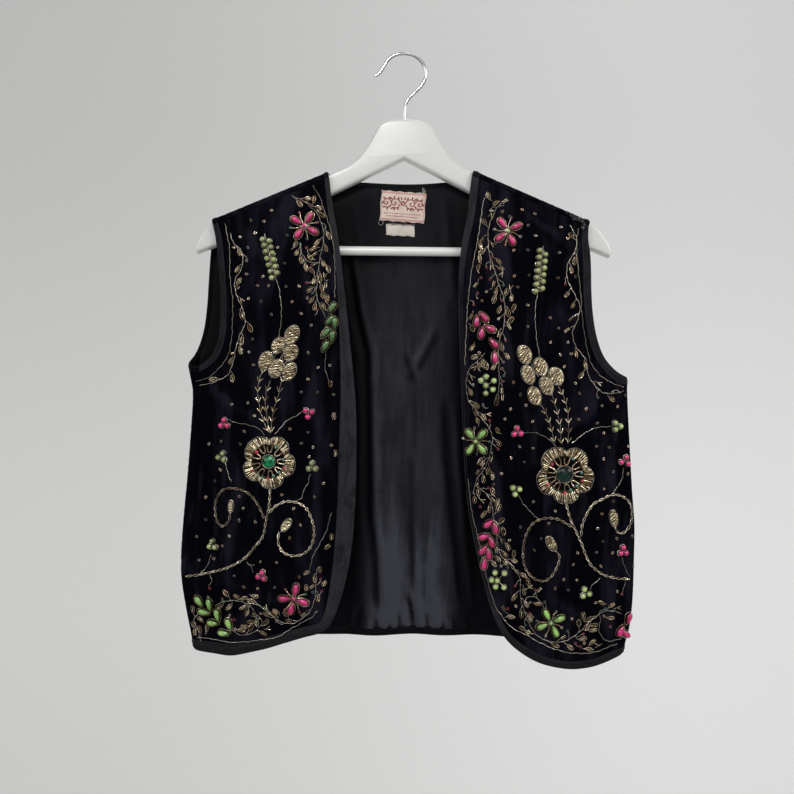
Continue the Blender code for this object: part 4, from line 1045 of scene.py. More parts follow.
# line, width, height and partner: a crease is a soft ridge, or a trough where its height is
# negative, with a weaker opposite beside it; on the lining a positive height comes towards
# the opening
creases = {
    "frontLeft": [
        ([(-203, -343), (-178, -364), (-152, -380)], 6, 1.8, 0.6),
        ([(-214, -356), (-210, -430), (-213, -505), (-209, -590)], 5, 1.6, 0.7),
        ([(-199, -372), (-201, -440), (-196, -520)], 4.5, -1.5, 0.5),
        ([(-171, -400), (-168, -452), (-172, -520)], 6, 1.5, 0.6),
        ([(-118, -165), (-128, -222), (-122, -280)], 7, 1.2, 0.5),
        ([(-168, -178), (-150, -205), (-128, -222)], 6, 1.1, 0.6),
        ([(-92, -330), (-84, -420), (-90, -520), (-82, -590)], 7, 1.6, 0.7),
        ([(-150, -555), (-118, -572), (-88, -575)], 6, 1, 0.5),
    ],
    "frontRight": [
        ([(118, -160), (140, -178), (162, -187)], 4, 1.2, 0.7),
        ([(126, -172), (150, -192), (168, -206)], 4, -1, 0.6),
        ([(98, -190), (112, -250), (108, -330)], 7, 1.3, 0.6),
        ([(206, -352), (186, -376), (160, -392)], 6, 1.4, 0.6),
        ([(222, -370), (218, -440), (224, -520), (216, -596)], 5, 1.6, 0.7),
        ([(192, -400), (196, -470), (190, -560)], 6, -1.3, 0.6),
        ([(84, -360), (96, -440), (104, -520), (128, -590)], 7, 1.4, 0.7),
        ([(150, -560), (182, -578), (214, -582)], 6, 1, 0.5),
    ],
    "back": [
        ([(-186, -190), (-140, -236), (-96, -262)], 8, 2.2, 0.6),
        ([(180, -186), (138, -228), (98, -258)], 8, 2, 0.6),
        ([(-150, -330), (-138, -420), (-146, -520), (-140, -600)], 8, 2.4, 0.7),
        ([(148, -320), (140, -410), (150, -500), (142, -600)], 8, 2.2, 0.7),
        ([(-204, -345), (-182, -380), (-176, -450)], 7, 1.8, 0.6),
        ([(212, -352), (188, -388), (184, -460)], 7, 1.8, 0.6),
        ([(-42, -150), (-34, -230), (-40, -330)], 7, 1.6, 0.6),
        ([(30, -160), (24, -250), (34, -360), (28, -450)], 6, 1.4, 0.7),
        ([(-96, -430), (-88, -510), (-98, -600)], 6, 1.6, 0.6),
        ([(96, -400), (88, -500), (96, -600)], 6, 1.6, 0.6),
    ],
    "lining": [
        ([(-60, -205), (-48, -269), (-37, -312), (-35, -384), (-33, -478), (-26, -529), (-23, -580)], 4.2,
         -3.2, 0.95),
        ([(33, -283), (22, -305), (8, -329)], 4.2, 2.6, 0.9),
        ([(3, -311), (9, -330), (13, -344)], 3.4, -2.4, 0.7),
        ([(13, -345), (14, -380), (15, -418)], 2.6, -1.2, 0.5),
        ([(12, -420), (11, -490), (13, -540), (14, -598)], 3.6, -1.5, 0.8),
        ([(6, -560), (13, -582), (16, -600)], 3.4, -2.4, 0.8),
        ([(45, -358), (50, -430), (58, -510), (66, -572)], 4.6, -2.8, 0.8),
        ([(-12, -440), (-6, -500), (-10, -560)], 7, 1, 0.4),
        ([(38, -470), (34, -540), (40, -590)], 6, 1, 0.5),
        ([(-52, -150), (-44, -190), (-50, -230)], 5, 1, 0.5),
        ([(40, -150), (48, -200), (52, -260)], 5, 1.2, 0.6),
        ([(-30, -206), (0, -214), (28, -208)], 5, 0.8, 0.5),
        ([(-43.5, -602), (-43, -588), (-40, -574)], 3, -2.2, 0.9),
        ([(-24.6, -602), (-25, -586)], 2.8, -1.9, 0.9), ([(-11, -602), (-12, -592)], 2.4, -1.4, 0.9),
        ([(0, -602), (-2, -582)], 2.8, -2, 0.9), ([(30, -602), (29, -580)], 3, -2.2, 0.9),
        ([(44, -602), (46, -590)], 2.4, -1.5, 0.9), ([(58, -602), (56, -586)], 2.8, -1.8, 0.9),
        ([(74, -602), (72, -586)], 2.8, -1.8, 0.9),
        ([(-118, -240), (-104, -360), (-112, -480), (-106, -590)], 8, 1.8, 0.7),
        ([(124, -250), (112, -370), (120, -500), (114, -590)], 8, 1.8, 0.7),
        ([(-176, -340), (-168, -460), (-174, -580)], 7, 1.6, 0.6),
        ([(182, -350), (176, -470), (180, -580)], 7, 1.6, 0.6),
    ],
}
creaseMake = {
    "turnFade": 16, "endFade": 26, "reach": 3.4,  # reach and partner's place in widths
    "partnerAt": 1.7, "wander": 0.22, "wave": 23,
}


def segmentsOf(crease):
    runs, total = [], 0
    for start, end in zip(crease.line, crease.line[1:]):
        length = math.dist(start, end)
        runs.append((start, end, length, total))
        total += length
    return runs, total


creaseRuns = {name: [(crease, *segmentsOf(crease)) for crease in (Crease(*row) for row in rows)]
              for name, rows in creases.items()}


def creaseLift(u, v, sheetName):
    over, beyond = pastTurns(u, v)
    free = soft(-beyond / creaseMake["turnFade"]) * soft((-over - 4) / creaseMake["turnFade"])
    if free <= 0:
        return 0
    lift = 0
    for crease, runs, total in creaseRuns[sheetName]:
        reach = creaseMake["reach"] * crease.width
        best = None
        for (au, av), (bu, bv), length, before in runs:
            if not (min(av, bv) - reach < v < max(av, bv) + reach
                    and min(au, bu) - reach < u < max(au, bu) + reach):
                continue
            du, dv = (bu - au) / length, (bv - av) / length
            along = (u - au) * du + (v - av) * dv
            t = min(length, max(0, along))
            side = (u - au) * dv - (v - av) * du  # positive to the right of a line going down
            gap = math.hypot(u - au - du * t, v - av - dv * t)
            if best is None or gap < best[0]:
                best = (gap, before + t, -1 if side < 0 else 1)
        if best is None or best[0] > reach:
            continue
        gap, run, hand = best
        ends = min(0.45 * total, creaseMake["endFade"])
        fade = soft((run + 0.3 * ends) / ends) * soft((total - run + 0.3 * ends) / ends)
        across = -hand * gap / crease.width
        beside = across - creaseMake["partnerAt"]
        profile = math.exp(-across ** 2) - crease.partner * math.exp(-beside ** 2)
        wander = 1 + creaseMake["wander"] * math.sin(run / creaseMake["wave"] + crease.width)
        lift += crease.height * fade * wander * profile
    return free * lift


linedDepth = backWall + seamGap + liningWall
liningHang = {
    "float": 1.5,  # how far the lining hangs off the back towards the opening
    "topFade": 30, "sideFade": 20, "hem": -604, "hemFade": 18, "deepest": 1.1,
}


def clothPoint(u, v, sheetName, offset):
    # offset is outwards from the skin, in mm; the lining's creases go the other way
    if sheetName == "lining":
        over, beyond = pastTurns(u, v)
        hang = liningHang["float"] * soft((-over - 2) / liningHang["topFade"]) \
            * soft(-beyond / liningHang["sideFade"]) \
            * soft((v - liningHang["hem"]) / liningHang["hemFade"])
        lift = -hang - max(-liningHang["deepest"] - hang, creaseLift(u, v, sheetName))
        return skinPoint(u, v, backFace, offset + lift)
    face = backFace if sheetName == "back" else frontFace
    return skinPoint(u, v, face, offset + creaseLift(u, v, sheetName))


class ClothMap:
    # remembers places of one sheet on a fine grid, so that needlework can be laid on it
    def __init__(self, sheetName, offset, step=2):
        self.sheetName = sheetName
        self.offset = offset
        self.step = step
        self.known = {}

    def corner(self, i, j):
        if (i, j) not in self.known:
            self.known[i, j] = clothPoint(i * self.step, j * self.step, self.sheetName,
                                          self.offset) * mm
        return self.known[i, j]

    def at(self, u, v):
        i, j = math.floor(u / self.step), math.floor(v / self.step)
        s, t = u / self.step - i, v / self.step - j
        low = self.corner(i, j).lerp(self.corner(i + 1, j), s)
        high = self.corner(i, j + 1).lerp(self.corner(i + 1, j + 1), s)
        return low.lerp(high, t)

    def lay(self, u, v, lift=0, degrees=0):
        # place, direction along the cloth and outward direction, in metres
        across = self.at(u + 1, v) - self.at(u - 1, v)
        upward = self.at(u, v + 1) - self.at(u, v - 1)
        outward = across.cross(upward).normalized()
        if self.sheetName == "back":
            outward = -outward
        turn = math.radians(degrees)
        along = across.normalized() * math.cos(turn) + upward.normalized() * math.sin(turn)
        along = (along - outward * along.dot(outward)).normalized()
        return self.at(u, v) + outward * lift * mm, along, outward


def addPiece(name, mesh, finish):
    thing = bpy.data.objects.new(name, mesh)
    bpy.context.scene.collection.objects.link(thing)
    mesh.materials.append(finishes[finish])
    return keep(thing)


def addWall(piece, wall):
    # the shell's thickness, added on its hidden side
    thick = piece.modifiers.new("wall", "SOLIDIFY")
    thick.thickness = wall * mm
    thick.offset = -1
    return piece


# bound edges

bindingMake = {
    "step": 2.6, "turnStep": 1.6, "tuck": 1.6, "puff": 0.28, "groove": 0.42,
    "pucker": 0.18, "rumple": 0.3, "stitchPitch": 3.1, "stitchLength": 2.1,
    "stitchRadius": 0.26, "stitchLift": 0.18, "spanSteps": 24, "tangentReach": 8,
    "firstCorner": 1.1, "grooveHalf": 0.9, "grooveCorner": 9,
}


def nearTurn(u, v):
    over, beyond = pastTurns(u, v)
    return over > -3 or beyond > -3


Station = namedtuple("Station", "u v across band roll run")


def stations(rows, hand, firstAcross, lastAcross):
    # stops along a bound edge, closer together where the cloth turns
    dense, far = smoothRows(rows, bindingMake["spanSteps"]), bindingMake["tangentReach"]
    picked, run = [0], 0
    for i in range(1, len(dense)):
        run += math.dist(dense[i - 1][:2], dense[i][:2])
        step = bindingMake["turnStep" if nearTurn(dense[i].x, dense[i].z) else "step"]
        if run >= step:
            picked.append(i)
            run = 0
    if picked[-1] != len(dense) - 1:
        picked[-1 if len(picked) > 1 and run < 1 else len(picked):] = [len(dense) - 1]
    stops, total, last = [], 0, None
    for i in picked:
        a, b = dense[max(0, i - far)], dense[min(len(dense) - 1, i + far)]
        row = dense[i]
        if last is not None:
            total += math.dist(last[:2], row[:2])
        last = row
        tangent = Vector((b.x - a.x, b.z - a.z)).normalized()
        across = Vector((-tangent.y, tangent.x)) * hand
        for end, seam in ((dense[0], firstAcross), (dense[-1], lastAcross)):
            across = across.lerp(seam, soft(1 - math.dist(end[:2], row[:2]) / seamBlend))
        across.normalize()
        stops.append(Station(row.x, row.z, across, row.band, row.roll, total))
    return stops


def edgeLine(stops, past):
    # a line along the edge, so far in from the binding's inner side
    return [(stop.u + stop.across.x * (stop.band + past), stop.v + stop.across.y * (stop.band + past))
            for stop in stops]


def shoulderAcross(side, outward):
    return Vector((side * armCosine, -armSine)) * outward


def sideAcross(side, face, v, upward):
    start = sideSeamPlace(side, v, face)
    end = sideSeamPlace(side, v + seamTrend * upward, face)
    return Vector((end[0] - start[0], end[1] - start[1])).normalized()


def grooveAt(band):
    # where the stitch line runs, in from the binding's inner side
    return 0.95 + 5 * soft((band - 8) / 8)


def ribbon(name, stops, sheetName, innerDepth, seed):
    # padded tape that wraps the edge, with a stitched groove along its inner side
    chance = random.Random(seed)
    phase = [chance.uniform(0, 6.28) for _ in range(3)]
    base = "back" if sheetName == "lining" else sheetName
    corner = bindingMake["grooveCorner"]
    body = bmesh.new()
    layer = body.loops.layers.uv.new("UVMap")
    rings, stitchPath = [], []
    for stop in stops:
        band = stop.band
        inner = -innerDepth(stop.u, stop.v)
        groove = band - grooveAt(band)
        pucker = bindingMake["pucker"] * (
            math.sin(stop.run / 1.9 + phase[0]) + 0.8 * math.sin(stop.run / 3.7 + phase[1])
            + 1.2 * math.sin(stop.run / 11 + phase[2]))
        top = bindingProud + bindingMake["puff"]
        first = bindingMake["rumple"] * math.sin(stop.run / 15 + phase[1])
        second = bindingMake["rumple"] * math.sin(stop.run / 9 + phase[0])
        near, far = bindingMake["firstCorner"], groove - bindingMake["grooveHalf"]
        crown = [mix(near, far, share) for share in (0.22, 0.42, 0.62, 0.82)]
        section = [(-0.15, -0.9), (-0.05, -0.2), (0.35, 0.25), (near, bindingProud + 0.5 * pucker),
                   (crown[0], top + pucker + first), (crown[1], top - 0.7 * first + 0.5 * second),
                   (crown[2], top + 0.8 * pucker - second),
                   (crown[3], top + pucker + 0.6 * second), (far, top - 0.1),
                   (groove, bindingProud - bindingMake["groove"]), (groove + 0.45, bindingProud),
                   (mix(groove + 0.45, band, 0.6), bindingProud + 0.5 * pucker),
                   (band - 0.05, 0.15), (band + 0.05, -0.35), (band, inner + 0.4),
                   (band - 0.8, inner), (0.5 * band, inner - 0.1 - 0.5 * pucker), (0.9, inner),
                   (0.1, inner + 0.6)]
        ring, lengths, girth = [], [], 0
        for (a, offset), before in zip(section, section[:1] + section):
            curl = stop.roll * max(0, 1 - a / band) ** 1.5
            u, v = stop.u + stop.across.x * a, stop.v + stop.across.y * a
            ring.append(body.verts.new(clothPoint(u, v, base, offset + curl) * mm))
            girth += math.dist(before, (a, offset))
            lengths.append(girth * mm)
        stitchPath.append((ring[corner].co.copy(), ring[corner + 1].co - ring[corner - 1].co))
        rings.append((ring, lengths, stop.run * mm))
    for (ring, lengths, run), (after, nextLengths, nextRun) in zip(rings, rings[1:]):
        for i in range(len(ring)):
            j = (i + 1) % len(ring)
            face = body.faces.new((ring[i], ring[j], after[j], after[i]))
            last = lengths[-1] + 0.001
            for loop, spot in zip(face.loops, ((run, lengths[i]), (run, lengths[j] if j else last),
                                               (nextRun, nextLengths[j] if j else last),
                                               (nextRun, nextLengths[i]))):
                loop[layer].uv = spot
    body.faces.new(rings[0][0])
    body.faces.new(rings[-1][0])
    bmesh.ops.recalc_face_normals(body, faces=body.faces)
    mesh = bpy.data.meshes.new(name)
    body.to_mesh(mesh)
    body.free()
    mesh.shade_smooth()
    finish = "binding"
    # inside the back's armholes the tape takes the darker copy, painted shade
    if "armhole" in name:
        finish = "shadeBinding" if sheetName == "lining" else "armholeBinding"
    elif sheetName == "lining":
        finish = "darkBinding"
    piece = addPiece(name + "_tape", mesh, finish)
    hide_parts(name)
    path = []
    for i, (here, aside) in enumerate(stitchPath):
        a, b = stitchPath[max(0, i - 1)][0], stitchPath[min(len(stitchPath) - 1, i + 1)][0]
        outward = aside.cross(b - a).normalized()
        if (outward.y > 0) != (sheetName in ("back", "lining")) and abs(outward.y) > 0.2:
            outward = -outward
        path.append((here + outward * bindingMake["stitchLift"] * mm, 1, outward))
    return path


def stitchTree():
    # short straight stitches at an even pitch along a path
    grower = Grower("stitches", {"Pitch": ("Float", 0.003), "Length": ("Float", 0.002),
                                 "Radius": ("Float", 0.0002)})
    spots = grower.node("CurveToPoints", {"mode": "LENGTH"},
                        {"Curve": grower.path(), "Length": grower.given("Pitch")})
    turn = grower.turned(spots.outputs["Tangent"], grower.named("outward", "FLOAT_VECTOR"),
                         "X", "Z")
    half = grower.number("MULTIPLY", grower.given("Length"), 0.5)
    size = grower.node("ShaderNodeCombineXYZ", {}, {0: half, 1: grower.given("Radius"),
                                                   2: grower.given("Radius")})
    rod = grower.node("MeshUVSphere", {}, {"Segments": 5, "Rings": 4, "Radius": 1})
    return grower.finish(grower.node("InstanceOnPoints", {}, {
        "Points": spots, "Instance": grower.lying(rod), "Rotation": turn, "Scale": size}))


trees["stitches"] = stitchTree()


# sheets of cloth

def inside(outline, u, v):
    found = False
    for (ax, az), (bx, bz) in zip(outline, outline[1:] + outline[:1]):
        if (az > v) != (bz > v) and u < (bx - ax) * (v - az) / (bz - az) + ax:
            found = not found
    return found


def spanTable(outline, v):
    # places where a level line crosses the outline, in order
    crossings = []
    for (ax, az), (bx, bz) in zip(outline, outline[1:] + outline[:1]):
        if (az > v) != (bz > v):
            crossings.append((bx - ax) * (v - az) / (bz - az) + ax)
    return sorted(crossings)


def gridInside(outline, step):
    # even staggered grid inside the outline, clear of its edge
    low = min(p[1] for p in outline)
    high = max(p[1] for p in outline)
    near = {}
    for u, v in outline:
        near.setdefault((round(u / step), round(v / step)), []).append((u, v))
    points = []
    row = 0
    v = high - 0.5 * step
    while v > low:
        crossings = spanTable(outline, v)
        shift = 0.5 * step * (row % 2)
        for start, end in zip(crossings[::2], crossings[1::2]):
            u = math.ceil((start - shift) / step) * step + shift
            while u < end:
                i, j = round(u / step), round(v / step)
                close = any(math.hypot(u - a, v - b) < 0.55 * step
                            for di in (-1, 0, 1) for dj in (-1, 0, 1)
                            for a, b in near.get((i + di, j + dj), ()))
                if not close:
                    points.append((u, v))
                u += step
        v -= 0.9 * step
        row += 1
    return points


def clothPanel(name, outline, sheetName, offset, wall, step, finish, extra=None):
    # thin closed sheet on the skin; its shown face is the mesh, the wall a Solidify
    places = [Vector(p) for p in outline] + [Vector(p) for p in gridInside(outline, step)]
    found = delaunay_2d_cdt(places, [], [list(range(len(outline)))], 1, 1e-5)
    spots, triangles = found[0], found[2]
    lift = extra or (lambda u, v: 0)
    verts = [clothPoint(p.x, p.y, sheetName, offset + lift(p.x, p.y)) * mm for p in spots]
    if sheetName == "back":
        triangles = [triangle[::-1] for triangle in triangles]
    mesh = bpy.data.meshes.new(name)
    mesh.from_pydata(verts, [], triangles)
    layer = mesh.uv_layers.new(name="UVMap")
    flat = []
    for loop in mesh.loops:
        flat += [spots[loop.vertex_index].x * mm, spots[loop.vertex_index].y * mm]
    layer.data.foreach_set("uv", flat)
    # how far each place stands up as a crease, which the finishes use for painted light and shade along
    # the creases
    addNumbers(mesh, "ridge", [max(-1, min(1, 0.5 * creaseLift(p.x, p.y, sheetName)))
                               for p in spots])
    mesh.shade_smooth()
    return addWall(addPiece(name, mesh, finish), wall)


def sideStretch(side, face, vFrom, vTo, step):
    count = max(2, round(abs(vTo - vFrom) / step))
    return [sideSeamPlace(side, mix(vFrom, vTo, i / count), face) for i in range(1, count)]


def between(a, b, step):
    count = max(1, round(math.dist(a, b) / step))
    return [(mix(a[0], b[0], i / count), mix(a[1], b[1], i / count)) for i in range(1, count)]


def thinBinding(u, v):
    return bindingDepth


def linedBinding(u, v):
    over, beyond = pastTurns(u, v)
    flat = soft((-over - 1) / 10) * soft((-beyond + 2) / 8)
    return mix(bindingDepth, linedBindingDepth, flat)


sheetMake = {"frontStep": 3.2, "backStep": 4.2, "liningStep": 3.2, "frontWall": 1.5,
             "backWall": 1.2, "liningWall": 0.55}
stitchPaths = []


def makeFront(side):
    word = "left" if side == leftSide else "right"
    sheetName = "front" + word.capitalize()
    edgeRows, armRows = frontEdges[side], armholes[side, frontFace]
    edge = stations(edgeRows, side, shoulderAcross(side, 1),
                    sideAcross(side, frontFace, edgeRows[-1][1], 1))
    arm = stations(armRows, -side, shoulderAcross(side, -1),
                   sideAcross(side, frontFace, armRows[-1][1], -1))
    stitchPaths.append(ribbon("binding_front_" + word, edge, sheetName, thinBinding, 3))
    stitchPaths.append(ribbon("binding_armhole_front_" + word, arm, sheetName, thinBinding, 4))
    tuck, step = -bindingMake["tuck"], sheetMake["frontStep"]
    hemLine, armLine = edgeLine(edge, tuck), edgeLine(arm, tuck)
    outline = hemLine + sideStretch(side, frontFace, hemLine[-1][1], armLine[-1][1], step)
    outline += armLine[::-1] + between(armLine[0], hemLine[0], step)
    piece = clothPanel("velvet_front_" + word, outline, sheetName, 0,
                       sheetMake["frontWall"], step, "velvet")
    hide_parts("front_" + word)
    return piece, outline


def aroundBack(lines, step, sideRun):
    # outline from the four bound edges, the two shoulder seams and the two side seams
    neck, right, hem, left = (lines[key] for key in ("neck", "right", "hem", "left"))
    outline = neck + between(neck[-1], right[0], step) + right
    outline += sideRun(rightSide, right[-1][1], hem[-1][1]) + hem[::-1]
    outline += sideRun(leftSide, hem[0][1], left[-1][1]) + left[::-1]
    return outline + between(left[0], neck[0], step)


def makeBack():
    neck = stations(backNeck, -1, shoulderAcross(leftSide, 1), shoulderAcross(rightSide, 1))
    hem = stations(backHem, 1, sideAcross(leftSide, backFace, backHem[0][1], 1),
                   sideAcross(rightSide, backFace, backHem[-1][1], 1))
    stitchPaths.append(ribbon("binding_back_neck", neck, "lining", linedBinding, 5))
    stitchPaths.append(ribbon("binding_back_hem", hem, "lining", linedBinding, 6))
    tuck, step = -bindingMake["tuck"], sheetMake["backStep"]
    arms = {}
    for side in (leftSide, rightSide):
        rows = armholes[side, backFace]
        arms[side] = stations(rows, -side, shoulderAcross(side, -1),
                              sideAcross(side, backFace, rows[-1][1], -1))
        word = "left" if side == leftSide else "right"
        stitchPaths.append(ribbon("binding_armhole_back_" + word, arms[side], "lining",
                                  linedBinding, 7 + side))
    lines = {"neck": edgeLine(neck, tuck), "right": edgeLine(arms[rightSide], tuck),
             "hem": edgeLine(hem, tuck), "left": edgeLine(arms[leftSide], tuck)}
    backOutline = aroundBack(lines, step, lambda side, vFrom, vTo: sideStretch(
        side, backFace, vFrom, vTo, step))
    back = clothPanel("velvet_back", backOutline, "back", 0, sheetMake["backWall"], step,
                      "velvet")
    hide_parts("back")
    step = sheetMake["liningStep"]
    flat = {key: [p for p in line if pastTurns(*p)[0] < -1.5 and pastTurns(*p)[1] < -2.5]
            for key, line in lines.items()}

    def sideLine(side, vFrom, vTo):
        count = round(abs(vTo - vFrom) / step)
        levels = [mix(vFrom, vTo, i / count) for i in range(1, count)]
        return [(side * (sideEdge(side, v) - sideRadius - liningShort), v) for v in levels]

    outline = aroundBack(flat, step, sideLine)
    lining = clothPanel("satin_lining", outline, "lining", -linedDepth,
                        sheetMake["liningWall"], step, "lining")
    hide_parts("back_lining")
    return (back, backOutline), (lining, outline)


frontPieces = {side: makeFront(side) for side in (leftSide, rightSide)}
print("scene: fronts and their bound edges")
backPiece, liningPiece = makeBack()
print("scene: back, lining and their bound edges")

grow("edge_stitches", pathMesh("edge_stitches", stitchPaths), "stitches", {
    "Pitch": bindingMake["stitchPitch"] * mm, "Length": bindingMake["stitchLength"] * mm,
    "Radius": bindingMake["stitchRadius"] * mm}, "blackThread")


# needlework: places are (x, z) on the flat cloth, in mm

needle = {
    "vineRadius": 0.38, "borderRadius": 0.3, "stemRadius": 0.31, "rimRadius": 0.36,
    "kink": 0.3, "pathStep": 1.4,
    "leafEvery": 5.6, "leafLong": 8, "leafWide": 1.5, "rodWidth": 0.68,
    "barWidth": 0.64, "barGap": 1.25, "fillEvery": 3.8, "fillReach": 9, "featherEvery": 9.5,
    "armFrom": 158, "armLow": -360, "armShare": 0.5,
    "seedEvery": 16, "seedLong": 1.75, "seedWide": 1.35, "seedShare": 0.74,
    "ropePly": 0.46, "ropeWind": 0.98, "ropeTurn": 14, "ropeStep": 0.9,
    "berryRows": 12, "berryHalf": 9.4, "medallionRods": 72, "loops": 9,
    "ringBead": (1.6, 1.5, 0.7),  # half length, half width, lift
    "bead": 2.9, "petalLong": 6.5, "petalWide": 3.6, "petalHigh": 2.9,
    "beadRing": 3.4, "beadRingHigh": 1.4,  # ring of thread round each bead
    "ovalRod": 1.18, "medallionRod": 1.5, "loopRadius": 0.66, "jewelHigh": 3.3,
    "twigRooms": (1.5, 4.1, 6.9),  # places along a twig that have to be free
}

Petals = namedtuple("Petals", "x z count reach turn")

